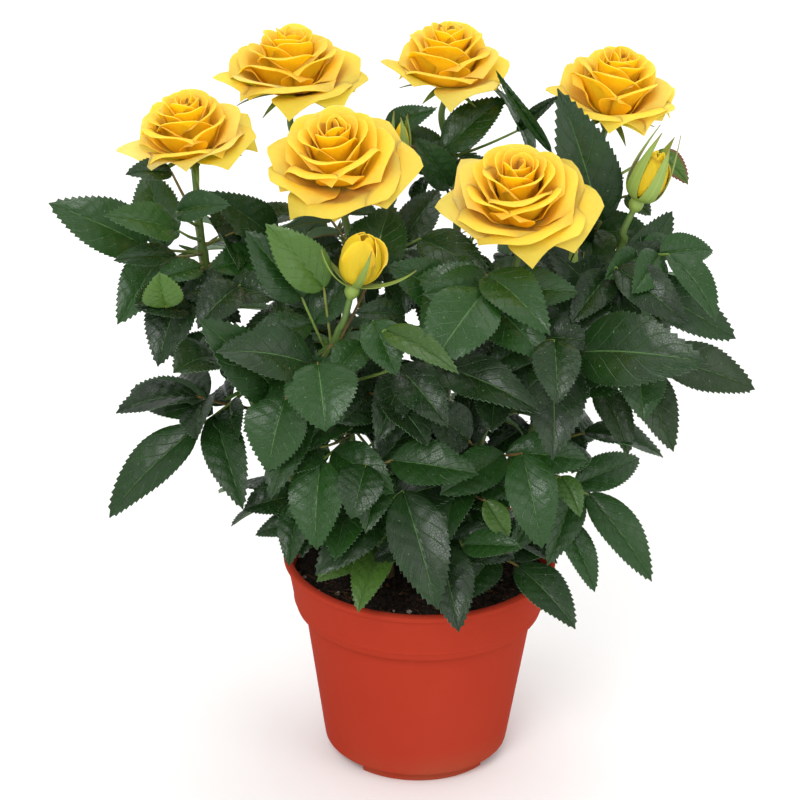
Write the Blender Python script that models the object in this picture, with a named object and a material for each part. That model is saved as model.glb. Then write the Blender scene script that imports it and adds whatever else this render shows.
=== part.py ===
# A miniature rose with six open blooms and four buds, grown in a terracotta-coloured plastic pot.
# Metres, +Z up. The origin is the centre of the pot's underside, and the plant's front faces -Y.

import math

import bmesh
import bpy
import numpy as np
from mathutils import Matrix, Vector
from mathutils.bvhtree import BVHTree

MM = 0.001

# ---- Driving dimensions ----

# Pot: a thin moulded shell with a collar, a rolled lip and a recessed foot
POT_RIM_RADIUS = 60 * MM
POT_HEIGHT = 96 * MM
POT_WALL = 1.6 * MM
POT_LIP_HEIGHT = 3.6 * MM
POT_LIP_OUT = 1.6 * MM
POT_COLLAR_HEIGHT = 25 * MM
POT_COLLAR_TAPER = 4.2 * MM
POT_STEP_IN = 4.2 * MM
POT_BODY_TAPER = 9.4 * MM
POT_FOOT_INSET = 4.8 * MM
POT_FOOT_HEIGHT = 3.4 * MM
POT_SIDES = 32
DRAIN_SLOTS = 3
DRAIN_SLOT_TURN = 97        # degrees round from +X to the first slot
DRAIN_SLOT_WIDTH = 15 * MM
DRAIN_SLOT_HEIGHT = 4.6 * MM

# Fits
GAP = 0.3 * MM              # between pieces that touch in the real plant
SOCKET_CLEARANCE = 0.3 * MM  # round a cane where it goes into the soil
LEAF_CLEARANCE = 0.35 * MM   # kept round every leaf when it is turned into place

# Soil
SOIL_BELOW_RIM = 10 * MM
SOIL_UNEVEN = 1.2 * MM
CANE_BURIED = 24 * MM

# Plant: the rows below are drawn in millimetres, from the pot's axis and up from the soil
GROW_UP = 1.0               # stretches the rows in height
GROW_OUT = 1.0              # stretches the rows sideways
CANE_FOOT_RADIUS = 2.4 * MM
CANE_TOP_RADIUS = 1.35 * MM
SHOOT_RADIUS = 0.95 * MM
CANE_SIDES = 6
CANE_STEPS = 2              # rings for each span of a cane's row

# Leaves
LEAF_THICKNESS = 0.8 * MM
RACHIS_WIDTH = 1.3 * MM
LEAFLET_ARCH = 0.07         # rise of a leaflet's middle, as a share of its length
LEAFLET_FOLD = 0.22         # rise of its margins over the midrib, as a share of its half width
LEAFLET_OUTLINE = ((0.20, 0.80), (0.50, 1.0), (0.80, 0.60))   # along the length, half width
LEAF_LEAN = 0.9             # how far the upper sides lean towards their heading, against 1 upwards

# Flowers
PETAL_THICKNESS = 1.0 * MM
SEPAL_THICKNESS = 0.7 * MM
HIP_RADIUS = 3.4 * MM
HIP_HEIGHT = 6.8 * MM
OUTER_PETALS = 6
SEPALS = 5

SOIL_TOP = POT_HEIGHT - SOIL_BELOW_RIM

# ---- Rows of the plant ----

# Canes: the row of points each one grows through. The last stretch runs up to its flower.
CANES = {
    "cane_left": [(-29, -3, 0), (-42, -6, 20), (-57, -8, 50), (-75, -8, 90), (-92, -6, 138), (-98, -2, 170)],
    "cane_back_left": [(-10, 12, 0), (-20, 22, 55), (-36, 36, 115), (-51, 46, 168)],
    "cane_centre": [(-13, -5, 0), (-18, -4, 50), (-24, -8, 110), (-31, -15, 160)],
    "cane_back": [(4, 12, 0), (9, 23, 60), (13, 37, 120), (12, 47, 172)],
    "cane_front": [(8, -9, 0), (19, -16, 50), (30, -24, 100), (36, -30, 150)],
    "cane_back_right": [(18, 10, 0), (34, 17, 55), (54, 21, 110), (71, 21, 165)],
    "cane_right": [(20, -5, 0), (33, -10, 48), (55, -11, 92), (69, -9, 138), (83, -16, 168)],
    "cane_low": [(-22, -15, 0), (-29, -25, 42), (-31, -36, 84), (-38, -50, 130), (-37, -58, 145)],
}

# Side shoots: the cane each one leaves, then the row of points after it.
SHOOTS = {
    "shoot_right": ("cane_right", 96, [(61, -17, 132)]),
    "shoot_centre": ("cane_centre", 140, [(-20, 2, 168)]),
}

# Blooms: stem, middle of the open flower, radius, height over the hip, heading of the tilt, tilt.
BLOOMS = {
    "left": ("cane_left", (-102, 0, 213), 29, 27, 200, 6),
    "top_left": ("cane_back_left", (-60, 50, 222), 33, 28, 100, 4),
    "centre_left": ("cane_centre", (-39, -25, 214), 33, 31, 250, 16),
    "top": ("cane_back", (8, 50, 226), 28, 27, 40, 6),
    "centre_right": ("cane_front", (38, -40, 205), 34, 32, 265, 15),
    "top_right": ("cane_back_right", (80, 20, 228), 29, 30, 0, 12),
}

# Opening buds: stem, foot of the hip, radius and height of the petals, heading and tilt, the sepals' reach.
BUDS = {
    "front": ("cane_low", (-32, -61, 163), 9.6, 23, 20, 14, 22),
    "right": ("cane_right", (87, -18, 186), 7.6, 22, 10, 22, 20),
}

# Closed buds, still wrapped in their sepals: stem, foot of the hip, radius, height, heading and tilt.
CLOSED_BUDS = {
    "small": ("shoot_right", (60, -21, 160), 4.4, 15, 300, 30),
    "centre": ("shoot_centre", (-12, 10, 192), 4.6, 22, 90, 6),
}

# Leaves: stem, height of the joint on it, end of the stalk, tip of the end leaflet,
# width of the end leaflet, number of leaflet pairs and heading that the upper sides lean towards.
LEAVES = {
    "left_high": ("cane_left", 156, (-120, -9, 160), (-160, -12, 182), 24, 1, 255),
    "left_low": ("cane_left", 92, (-98, -22, 80), (-135, -36, 43), 22, 1, 245),
    "left_inner": ("cane_left", 108, (-88, -44, 126), (-106, -68, 132), 21, 1, 250),
    "centre_left": ("cane_low", 138, (-58, -77, 124), (-66, -92, 97), 27, 1, 250),
    "front_left": ("cane_low", 86, (-43, -72, 92), (-46, -94, 61), 23, 1, 260),
    "front_rim": ("cane_low", 40, (-8, -68, 76), (8, -98, 36), 25, 1, 270),
    "front_pair": ("cane_low", 66, (-16, -72, 92), (20, -84, 90), 21, 1, 280),
    "rim_left": ("cane_low", 22, (-16, -46, 36), (-27, -76, 24), 16, 1, 255),
    "rim_right": ("cane_front", 30, (42, -44, 28), (67, -66, 10), 20, 1, 300),
    "right_front": ("cane_front", 70, (42, -62, 92), (51, -86, 60), 22, 1, 285),
    "right_low": ("cane_right", 64, (72, -22, 52), (101, -38, 18), 19, 2, 300),
    "right_high": ("cane_right", 142, (86, -26, 162), (134, -32, 146), 20, 1, 290),
    "right_big": ("cane_front", 126, (66, -50, 143), (119, -64, 163), 32, 1, 285),
    "right_far": ("cane_right", 92, (100, -4, 110), (144, -2, 94), 22, 2, 285),
    "centre_right": ("cane_centre", 112, (4, -70, 138), (48, -92, 128), 21, 1, 280),
    "centre_big": ("cane_front", 138, (24, -70, 172), (4, -100, 152), 29, 1, 265),
    "top_right": ("cane_back_right", 128, (61, -3, 156), (56, -6, 200), 24, 0, 265),
    "top": ("cane_back", 136, (44, 34, 186), (26, 58, 212), 18, 1, 10),
    "top_back": ("cane_back_left", 140, (-24, 56, 168), (2, 80, 190), 24, 1, 80),
    "back_left": ("cane_back_left", 104, (-72, 66, 122), (-112, 84, 112), 26, 2, 130),
    "back": ("cane_back", 96, (4, 84, 112), (-8, 124, 98), 26, 2, 90),
    "back_right": ("cane_back_right", 96, (86, 62, 116), (112, 92, 100), 26, 2, 60),
    "back_low_left": ("cane_back_left", 44, (-44, 62, 58), (-62, 96, 32), 24, 2, 120),
    "back_low_right": ("cane_back_right", 46, (46, 62, 56), (60, 98, 30), 24, 2, 70),
}

# Turns tried for a leaf, nearest first: how far out in degrees, at eight directions of swing and lift
TURN_RINGS = (4, 8, 12, 17, 22, 28, 35, 43, 52)

LOOKS = {
    "terracotta_plastic": ((0.50, 0.072, 0.030), 0.45),
    "dark_soil": ((0.018, 0.012, 0.009), 0.95),
    "green_stem": ((0.10, 0.17, 0.045), 0.55),
    "yellow_outer": ((0.90, 0.60, 0.06), 0.60),
    "yellow_inner": ((0.92, 0.50, 0.03), 0.60),
    "green_sepal": ((0.16, 0.26, 0.06), 0.60),
    "green_leaf": ((0.018, 0.065, 0.020), 0.42),
}


def clear_scene():
    for old in list(bpy.data.objects):
        bpy.data.objects.remove(old, do_unlink=True)


def look(slot):
    colour, roughness = LOOKS[slot]
    material = bpy.data.materials.get(slot) or bpy.data.materials.new(slot)
    material.use_nodes = True
    shader = material.node_tree.nodes["Principled BSDF"]
    shader.inputs["Base Color"].default_value = (*colour, 1.0)
    shader.inputs["Roughness"].default_value = roughness
    shader.inputs["Metallic"].default_value = 0.0
    return material


def add_object(name, points, faces, slot):
    mesh = bpy.data.meshes.new(name)
    mesh.from_pydata([tuple(point) for point in points], [], faces)
    mesh.shade_smooth()
    mesh.set_sharp_from_angle(angle=math.radians(40))
    mesh.materials.append(look(slot))
    obj = bpy.data.objects.new(name, mesh)
    bpy.context.collection.objects.link(obj)
    return obj


def grow(point):
    x, y, z = point
    return Vector((x * GROW_OUT * MM, y * GROW_OUT * MM, SOIL_TOP + z * GROW_UP * MM))


# ---- Turned and lobed bodies ----
# A row is (radius at a lobe's tip, height there, radius between lobes, height there).
# Rows run from the underside outwards, and back over the top.

def plain(profile):
    return [(radius, height, radius, height) for radius, height in profile]


def thickened(rows, thickness):
    """The rows of a sheet, followed by the rows of its upper side in reverse."""
    upper = []
    for index in range(len(rows)):
        before = rows[max(index - 1, 0)]
        after = rows[min(index + 1, len(rows) - 1)]
        row = []
        for side in (0, 2):
            across = Vector((after[side] - before[side], after[side + 1] - before[side + 1])).normalized()
            row += [rows[index][side] - across.y * thickness, rows[index][side + 1] + across.x * thickness]
        upper.append(tuple(row))
    return list(rows) + upper[::-1]


def lobed_body(rows, sides, lobes=1, closed_at_axis=True):
    """Points and faces of a closed body with the given rows; the axis is +Z."""
    angles = [2 * math.pi * step / sides for step in range(sides)]
    points = []
    for tip_radius, tip_height, valley_radius, valley_height in rows:
        for angle in angles:
            tip = (1 + math.cos(lobes * angle)) / 2
            radius = valley_radius + (tip_radius - valley_radius) * tip
            height = valley_height + (tip_height - valley_height) * tip
            points.append(Vector((radius * math.cos(angle), radius * math.sin(angle), height)))
    faces = []
    last = len(rows) - 1
    for ring in range(last if closed_at_axis else last + 1):
        above = (ring + 1) % len(rows)
        for step in range(sides):
            ahead = (step + 1) % sides
            near, near_ahead = ring * sides + step, ring * sides + ahead
            far, far_ahead = above * sides + step, above * sides + ahead
            # Both sides of a sheet are split along the same diagonal, so that they never cross.
            if ring < last / 2:
                faces += [(near, near_ahead, far_ahead), (near, far_ahead, far)]
            else:
                faces += [(near, near_ahead, far), (near_ahead, far_ahead, far)]
    if closed_at_axis:
        low, high = len(points), len(points) + 1
        points.append(Vector((0, 0, rows[0][3])))
        points.append(Vector((0, 0, rows[-1][3])))
        for step in range(sides):
            ahead = (step + 1) % sides
            faces.append((low, ahead, step))
            faces.append((high, last * sides + step, last * sides + ahead))
    return points, faces


# ---- Pot and soil ----

LIP_UNDER = POT_HEIGHT - POT_LIP_HEIGHT
COLLAR_TOP_RADIUS = POT_RIM_RADIUS - POT_LIP_OUT
COLLAR_FOOT_RADIUS = COLLAR_TOP_RADIUS - POT_COLLAR_TAPER
COLLAR_FOOT = POT_HEIGHT - POT_COLLAR_HEIGHT
BODY_TOP_RADIUS = COLLAR_FOOT_RADIUS - POT_STEP_IN
BODY_FOOT_RADIUS = BODY_TOP_RADIUS - POT_BODY_TAPER
FOOT_RADIUS = BODY_FOOT_RADIUS - POT_FOOT_INSET
BODY_FOOT = 2.2 * POT_FOOT_HEIGHT
INSIDE_TOP = POT_HEIGHT - 1 * MM
INSIDE_STEP = COLLAR_FOOT + 2.2 * MM


def make_pot():
    wall = POT_WALL
    profile = [
        (FOOT_RADIUS - 0.8 * MM, 0),
        (FOOT_RADIUS, 0.8 * MM),
        (FOOT_RADIUS + 0.1 * MM, POT_FOOT_HEIGHT),
        (BODY_FOOT_RADIUS - 1.2 * MM, POT_FOOT_HEIGHT + 1.4 * MM),
        (BODY_FOOT_RADIUS, BODY_FOOT),
        (BODY_TOP_RADIUS, COLLAR_FOOT - 3 * MM),
        (BODY_TOP_RADIUS + 1 * MM, COLLAR_FOOT - 1.2 * MM),
        (COLLAR_FOOT_RADIUS - 0.8 * MM, COLLAR_FOOT),
        (COLLAR_FOOT_RADIUS, COLLAR_FOOT + 0.8 * MM),
        (COLLAR_TOP_RADIUS, LIP_UNDER),
        (POT_RIM_RADIUS, LIP_UNDER + 0.9 * MM),
        (POT_RIM_RADIUS, POT_HEIGHT - 0.7 * MM),
        (POT_RIM_RADIUS - 0.8 * MM, POT_HEIGHT),
        (COLLAR_TOP_RADIUS - wall + 0.6 * MM, POT_HEIGHT),
        (COLLAR_TOP_RADIUS - wall, INSIDE_TOP),
        (COLLAR_FOOT_RADIUS - wall, INSIDE_STEP),
        (BODY_TOP_RADIUS - wall, COLLAR_FOOT - 2.4 * MM),
        (BODY_FOOT_RADIUS - wall, BODY_FOOT + wall),
        (FOOT_RADIUS - wall, POT_FOOT_HEIGHT + wall),
        (FOOT_RADIUS - wall, wall),
    ]
    points, faces = lobed_body(plain(profile), POT_SIDES)
    pot = add_object("pot", points, faces, "terracotta_plastic")
    cut = pot.modifiers.new("drain slots", "BOOLEAN")
    cut.object = drain_cutter()
    cut.solver = "EXACT"
    return pot


def drain_cutter():
    """Blocks that notch the corner between the foot and the floor."""
    shape = bmesh.new()
    middle = FOOT_RADIUS
    for slot in range(DRAIN_SLOTS):
        turn = Matrix.Rotation(math.radians(DRAIN_SLOT_TURN + 360 * slot / DRAIN_SLOTS), 4, "Z")
        size = Matrix.Diagonal((3 * POT_WALL, DRAIN_SLOT_WIDTH, 2 * DRAIN_SLOT_HEIGHT, 1))
        bmesh.ops.create_cube(shape, size=1, matrix=turn @ Matrix.Translation((middle, 0, 0)) @ size)
    return add_cutter("drain_cutter", shape)


def add_cutter(name, shape):
    mesh = bpy.data.meshes.new(name)
    shape.to_mesh(mesh)
    shape.free()
    cutter = bpy.data.objects.new(name, mesh)
    bpy.context.collection.objects.link(cutter)
    cutter.hide_render = True
    cutter.display_type = "WIRE"
    return cutter


def make_soil(stems):
    inside = POT_WALL + GAP
    edge_height = SOIL_TOP - 1.5 * MM
    widening = POT_COLLAR_TAPER * (edge_height - INSIDE_STEP) / (INSIDE_TOP - INSIDE_STEP)
    edge_radius = COLLAR_FOOT_RADIUS - inside + widening
    profile = [
        (FOOT_RADIUS - inside - 0.4 * MM, inside),
        (FOOT_RADIUS - inside, POT_FOOT_HEIGHT + inside),
        (BODY_FOOT_RADIUS - inside, BODY_FOOT + inside + 0.8 * MM),
        (BODY_TOP_RADIUS - inside, COLLAR_FOOT - 2.1 * MM),
        (COLLAR_FOOT_RADIUS - inside, INSIDE_STEP + 0.8 * MM),
        (edge_radius, edge_height),
        (0.80 * edge_radius, SOIL_TOP - 0.2 * MM),
        (0.45 * edge_radius, SOIL_TOP),
    ]
    points, faces = lobed_body(plain(profile), POT_SIDES)
    for point in points:
        if point.z > SOIL_TOP - 1 * MM:
            point.z += SOIL_UNEVEN * math.sin(90 * point.x + 1) * math.cos(110 * point.y)
    soil = add_object("soil", points, faces, "dark_soil")
    shape = bmesh.new()
    for stem in stems:
        add_socket(shape, stem)
    cut = soil.modifiers.new("cane sockets", "BOOLEAN")
    cut.object = add_cutter("socket_cutter", shape)
    cut.solver = "EXACT"
    return soil


def add_socket(shape, stem):
    """A bore round the buried foot of a cane, open above the soil."""
    radius = (CANE_FOOT_RADIUS + SOCKET_CLEARANCE) / math.cos(math.pi / 8)
    foot, crossing = stem.path[0], stem.path[stem.buried_rings]
    along = (crossing - foot).normalized()
    length = (crossing - foot).length + 6 * MM + SOCKET_CLEARANCE
    middle = foot - along * SOCKET_CLEARANCE + along * (length / 2)
    turn = along.to_track_quat("Z", "Y").to_matrix().to_4x4()
    bmesh.ops.create_cone(shape, segments=8, radius1=radius, radius2=radius, depth=length,
                          cap_ends=True, matrix=Matrix.Translation(middle) @ turn)


# ---- Stems ----

def smooth_path(row, steps):
    """Catmull-Rom curve through the row's points."""
    padded = [2 * row[0] - row[1]] + row + [2 * row[-1] - row[-2]]
    path = []
    for span in range(1, len(padded) - 2):
        before, start, end, after = padded[span - 1:span + 3]
        for step in range(steps):
            t = step / steps
            path.append(0.5 * (2 * start + (end - before) * t
                               + (2 * before - 5 * start + 4 * end - after) * t * t
                               + (3 * start - before - 3 * end + after) * t ** 3))
    path.append(row[-1])
    return path


class Stem:
    """A round tapered stem with its path and the radius along it."""

    def __init__(self, row, foot_radius, top_radius, buried_rings=0):
        self.path = smooth_path(row, CANE_STEPS)
        self.buried_rings = buried_rings
        self.radii = np.linspace(foot_radius, top_radius, len(self.path)).tolist()

    def at_height(self, height):
        """The point on the axis, and the radius, at a height over the soil."""
        level = grow((0, 0, height)).z
        for ring in range(len(self.path) - 1):
            low, high = self.path[ring], self.path[ring + 1]
            if low.z <= level <= high.z:
                t = (level - low.z) / (high.z - low.z)
                return low.lerp(high, t), self.radii[ring] * (1 - t) + self.radii[ring + 1] * t
        return self.path[-1], self.radii[-1]

    def body(self):
        points = []
        last = len(self.path) - 1
        for ring, (centre, radius) in enumerate(zip(self.path, self.radii)):
            along = (self.path[min(ring + 1, last)] - self.path[max(ring - 1, 0)]).normalized()
            across = Vector((0, 1, 0)).cross(along).normalized()
            beside = along.cross(across)
            for step in range(CANE_SIDES):
                angle = 2 * math.pi * step / CANE_SIDES
                points.append(centre + radius * (across * math.cos(angle) + beside * math.sin(angle)))
        faces = [tuple(range(CANE_SIDES))[::-1]]
        for ring in range(last):
            for step in range(CANE_SIDES):
                ahead = (step + 1) % CANE_SIDES
                low, high = ring * CANE_SIDES, (ring + 1) * CANE_SIDES
                faces.append((low + step, low + ahead, high + ahead, high + step))
        faces.append(tuple(range(last * CANE_SIDES, (last + 1) * CANE_SIDES)))
        return points, faces


def flower_axis(heading, tilt):
    heading, tilt = math.radians(heading), math.radians(tilt)
    return Vector((math.sin(tilt) * math.cos(heading), math.sin(tilt) * math.sin(heading), math.cos(tilt)))


def flower_frames():
    """The foot and the axis of every flower, by stem."""
    frames = {}
    for stem, middle, _, height, heading, tilt in BLOOMS.values():
        axis = flower_axis(heading, tilt)
        frames[stem] = (grow(middle) - axis * (HIP_HEIGHT + 0.5 * height * MM), axis)
    for stem, foot, _, _, heading, tilt, *_ in (*BUDS.values(), *CLOSED_BUDS.values()):
        frames[stem] = (grow(foot), flower_axis(heading, tilt))
    return frames


def make_stems(frames):
    stems = {}
    for name, row in CANES.items():
        foot, axis = frames[name]
        points = [grow(point) for point in row]
        down = (points[0] - points[1]).normalized()
        points = [points[0] + down * CANE_BURIED] + points + [foot - axis * 10 * MM, foot]
        stems[name] = Stem(points, CANE_FOOT_RADIUS, CANE_TOP_RADIUS, CANE_STEPS)
    for name, (parent, height, row) in SHOOTS.items():
        foot, axis = frames[name]
        centre, radius = stems[parent].at_height(height)
        points = [grow(point) for point in row]
        out = points[0] - centre
        out.z = 0
        start = centre + out.normalized() * (radius + SHOOT_RADIUS + GAP)
        stems[name] = Stem([start] + points + [foot - axis * 6 * MM, foot], SHOOT_RADIUS, SHOOT_RADIUS)
    for name, stem in stems.items():
        add_object(name, *stem.body(), "green_stem")
    return stems


# ---- Flowers ----

def on_axis(points, foot, axis, spin):
    turn = axis.to_track_quat("Z", "Y").to_matrix() @ Matrix.Rotation(math.radians(spin), 3, "Z")
    return [foot + turn @ point for point in points]


def hip_rows():
    return plain([(1.5 * MM, GAP), (HIP_RADIUS, 0.45 * HIP_HEIGHT), (0.95 * HIP_RADIUS, 0.8 * HIP_HEIGHT)])


def calyx_rows(reach, drop, rise):
    """A hip with sepals that reach out from its top, rise and then drop."""
    top = HIP_HEIGHT
    sepals = [
        (0.45 * reach, top + 0.4 * rise, 1.15 * HIP_RADIUS, top - 0.3 * MM),
        (reach, top + rise - drop, 1.3 * HIP_RADIUS, top),
    ]
    return hip_rows() + thickened(sepals, SEPAL_THICKNESS) + plain([(0.8 * HIP_RADIUS, top + 0.4 * MM)])


def make_bloom(name, foot, axis, radius, height, spin):
    radius, height = radius * MM, height * MM
    base = HIP_HEIGHT + 1.2 * MM
    calyx = calyx_rows(0.62 * radius, 5 * MM, 0)
    points, faces = lobed_body(calyx, 3 * SEPALS, SEPALS)
    add_object(f"calyx_{name}", on_axis(points, foot, axis, spin), faces, "green_sepal")

    bowl = [
        (3.4 * MM, base, 3.4 * MM, base),
        (0.46 * radius, base + 0.10 * height, 0.42 * radius, base + 0.12 * height),
        (0.82 * radius, base + 0.38 * height, 0.70 * radius, base + 0.40 * height),
        (radius, base + 0.52 * height, 0.82 * radius, base + 0.62 * height),
    ]
    rows = thickened(bowl, PETAL_THICKNESS)
    points, faces = lobed_body(rows, 3 * OUTER_PETALS, OUTER_PETALS, closed_at_axis=False)
    add_object(f"outer_petals_{name}", on_axis(points, foot, axis, spin + 20), faces, "yellow_outer")

    heart = plain([
        (1.2 * MM, base + GAP),
        (0.22 * radius, base + 0.16 * height),
        (0.46 * radius, base + 0.34 * height),
        (0.60 * radius, base + 0.62 * height),
        (0.52 * radius, base + 0.88 * height),
        (0.26 * radius, base + height),
    ])
    points, faces = lobed_body(heart, 12)
    add_object(f"inner_petals_{name}", on_axis(points, foot, axis, spin), faces, "yellow_inner")


def make_bud(name, foot, axis, radius, height, reach):
    radius, height, reach = radius * MM, height * MM, reach * MM
    calyx = calyx_rows(reach, 0.2 * reach, 0.3 * height)
    points, faces = lobed_body(calyx, 3 * SEPALS, SEPALS)
    add_object(f"calyx_{name}_bud", on_axis(points, foot, axis, 0), faces, "green_sepal")
    base = HIP_HEIGHT + 0.8 * MM
    rows = plain([
        (0.30 * radius, base),
        (0.80 * radius, base + 0.22 * height),
        (radius, base + 0.45 * height),
        (0.78 * radius, base + 0.78 * height),
        (0.25 * radius, base + height),
    ])
    points, faces = lobed_body(rows, 10)
    add_object(f"petals_{name}_bud", on_axis(points, foot, axis, 0), faces, "yellow_inner")


def make_closed_bud(name, foot, axis, radius, height):
    radius, height = radius * MM, height * MM
    rows = plain([
        (SHOOT_RADIUS, GAP),
        (0.72 * radius, 0.14 * height),
        (0.66 * radius, 0.26 * height),
        (radius, 0.46 * height),
        (0.72 * radius, 0.70 * height),
        (0.12 * radius, height),
    ])
    points, faces = lobed_body(rows, 10)
    add_object(f"closed_bud_{name}", on_axis(points, foot, axis, 0), faces, "green_sepal")


# ---- Leaves ----

class LeafSheet:
    """The flat sheet of a compound leaf: a stalk, leaflets in pairs along it and one at its end."""

    def __init__(self):
        self.points = []
        self.faces = []

    def add(self, point):
        self.points.append(point)
        return len(self.points) - 1

    def leaflet(self, right, left, foot, along, up, length, width):
        """A leaflet that grows from the edge between two points of the stalk."""
        aside = up.cross(along).normalized()
        over = along.cross(aside)
        rows = []
        for share, spread in LEAFLET_OUTLINE:
            half = 0.5 * width * spread
            middle = foot + along * (share * length) + over * (4 * share * (1 - share) * LEAFLET_ARCH * length)
            margin = over * (half * LEAFLET_FOLD)
            rows.append([self.add(middle - aside * half + margin), self.add(middle),
                         self.add(middle + aside * half + margin)])
        tip = self.add(foot + along * length)
        first, last = rows[0], rows[-1]
        self.faces += [(right, first[0], first[1]), (right, first[1], left), (left, first[1], first[2])]
        for near, far in zip(rows, rows[1:]):
            self.faces += [(near[0], far[0], far[1], near[1]), (near[1], far[1], far[2], near[2])]
        self.faces += [(last[0], tip, last[1]), (last[1], tip, last[2])]


def leaf_shape(stalk, end_along, up, length, width, pairs):
    """The sheet in its own frame: the stalk runs along +X, and the leaflets face upwards along up."""
    sheet = LeafSheet()
    half = RACHIS_WIDTH / 2
    shares = ((), (0.62,), (0.40, 0.80))[pairs]
    stations = [0.0]
    for share in shares:
        stations += [share * stalk - half, share * stalk + half]
    stations.append(stalk)
    rights = [sheet.add(Vector((x, -half, 0))) for x in stations]
    lefts = [sheet.add(Vector((x, half, 0))) for x in stations]
    for k in range(len(stations) - 1):
        sheet.faces.append((rights[k], rights[k + 1], lefts[k + 1], lefts[k]))
    ahead = Vector((1, 0, 0))
    for pair, share in enumerate(shares):
        rank = pairs - pair
        size = (0.84, 0.70)[rank - 1]
        out = math.radians((68, 84)[rank - 1])
        # The pair next to the end leaflet spreads about the way that the end leaflet turns.
        middle = (ahead + end_along).normalized() if rank == 1 else ahead
        aside = up.cross(middle).normalized()
        k = 2 * pair + 1
        for side, right, left in ((1, lefts[k + 1], lefts[k]), (-1, rights[k], rights[k + 1])):
            along = middle * math.cos(out) + aside * (side * math.sin(out))
            along = (along - 0.12 * up).normalized()
            foot = Vector((share * stalk, side * half, 0))
            sheet.leaflet(right, left, foot, along, up, size * length, size * width)
    sheet.leaflet(rights[-1], lefts[-1], Vector((stalk, 0, 0)), end_along, up, length, width)
    return sheet


def facing(heading):
    """The way a leaf's upper side faces: up, and leaning towards a heading."""
    heading = math.radians(heading)
    return Vector((LEAF_LEAN * math.cos(heading), LEAF_LEAN * math.sin(heading), 1)).normalized()


def stalk_frame(along, up):
    """Axes of a leaf: along its stalk, to its left, and the way it faces."""
    left = up.cross(along).normalized()
    return Matrix((along, left, along.cross(left))).transposed()


def turns():
    yield 0.0, 0.0
    for reach in TURN_RINGS:
        for step in range(8):
            angle = math.radians(45 * step)
            yield reach * math.cos(angle), reach * math.sin(angle)


def sheet_normals(points, faces):
    normals = [Vector((0, 0, 0)) for _ in points]
    for face in faces:
        a, b, c = (points[index] for index in face[:3])
        normal = (b - a).cross(c - a)
        for index in face:
            normals[index] += normal
    return [normal.normalized() for normal in normals]


def thick_tree(points, faces, thickness):
    """Both sides and the rim of a sheet with a thickness, as a tree to test against."""
    normals = sheet_normals(points, faces)
    count = len(points)
    both = [p + n * thickness / 2 for p, n in zip(points, normals)]
    both += [p - n * thickness / 2 for p, n in zip(points, normals)]
    sides = {}
    for face in faces:
        for a, b in zip(face, face[1:] + face[:1]):
            sides[(a, b)] = True
    rim = [(a, b, b + count, a + count) for a, b in sides if (b, a) not in sides]
    under = [tuple(index + count for index in face) for face in faces]
    return BVHTree.FromPolygons(both, list(faces) + under + rim)


def make_leaf(name, stems, placed):
    stem_name, height, end, tip, width, pairs, heading = LEAVES[name]
    centre, radius = stems[stem_name].at_height(height)
    end, tip = grow(end), grow(tip)
    out = end - centre
    out.z = 0
    joint = centre + out.normalized() * (radius + RACHIS_WIDTH / 2 + GAP)
    stalk, blade = end - joint, tip - end
    up = facing(heading)
    frame = stalk_frame(stalk.normalized(), up)
    inwards = frame.transposed()
    sheet = leaf_shape(stalk.length, (inwards @ blade).normalized(), inwards @ up,
                       blade.length, width * MM, pairs)
    across = Vector((0, 0, 1)).cross(stalk).normalized()
    best = None
    for swing, lift in turns():
        turn = Matrix.Rotation(math.radians(swing), 3, "Z") @ Matrix.Rotation(math.radians(-lift), 3, across)
        points = [joint + turn @ (frame @ point) for point in sheet.points]
        tree = thick_tree(points, sheet.faces, LEAF_THICKNESS + 2 * LEAF_CLEARANCE)
        meets = sum(len(tree.overlap(other)) for other in placed)
        if best is None or meets < best[0]:
            best = (meets, points)
        if meets == 0:
            break
    leaf = add_object(f"leaf_{name}", best[1], sheet.faces, "green_leaf")
    thicken = leaf.modifiers.new("thickness", "SOLIDIFY")
    thicken.thickness = LEAF_THICKNESS
    thicken.offset = 0
    placed.append(thick_tree(best[1], sheet.faces, LEAF_THICKNESS))


def built_trees():
    """A tree to test against for every piece made so far, cutters left out."""
    graph = bpy.context.evaluated_depsgraph_get()
    return [BVHTree.FromObject(obj, graph) for obj in bpy.data.objects if not obj.hide_render]


def main():
    clear_scene()
    make_pot()
    frames = flower_frames()
    stems = make_stems(frames)
    make_soil([stems[name] for name in CANES])
    for number, (name, (stem, _, radius, height, _, _)) in enumerate(BLOOMS.items()):
        make_bloom(name, *frames[stem], radius, height, 31 * number)
    for name, (stem, _, radius, height, _, _, reach) in BUDS.items():
        make_bud(name, *frames[stem], radius, height, reach)
    for name, (stem, _, radius, height, _, _) in CLOSED_BUDS.items():
        make_closed_bud(name, *frames[stem], radius, height)
    bpy.context.view_layer.update()
    placed = built_trees()
    for name in LEAVES:
        make_leaf(name, stems, placed)


main()
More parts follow.
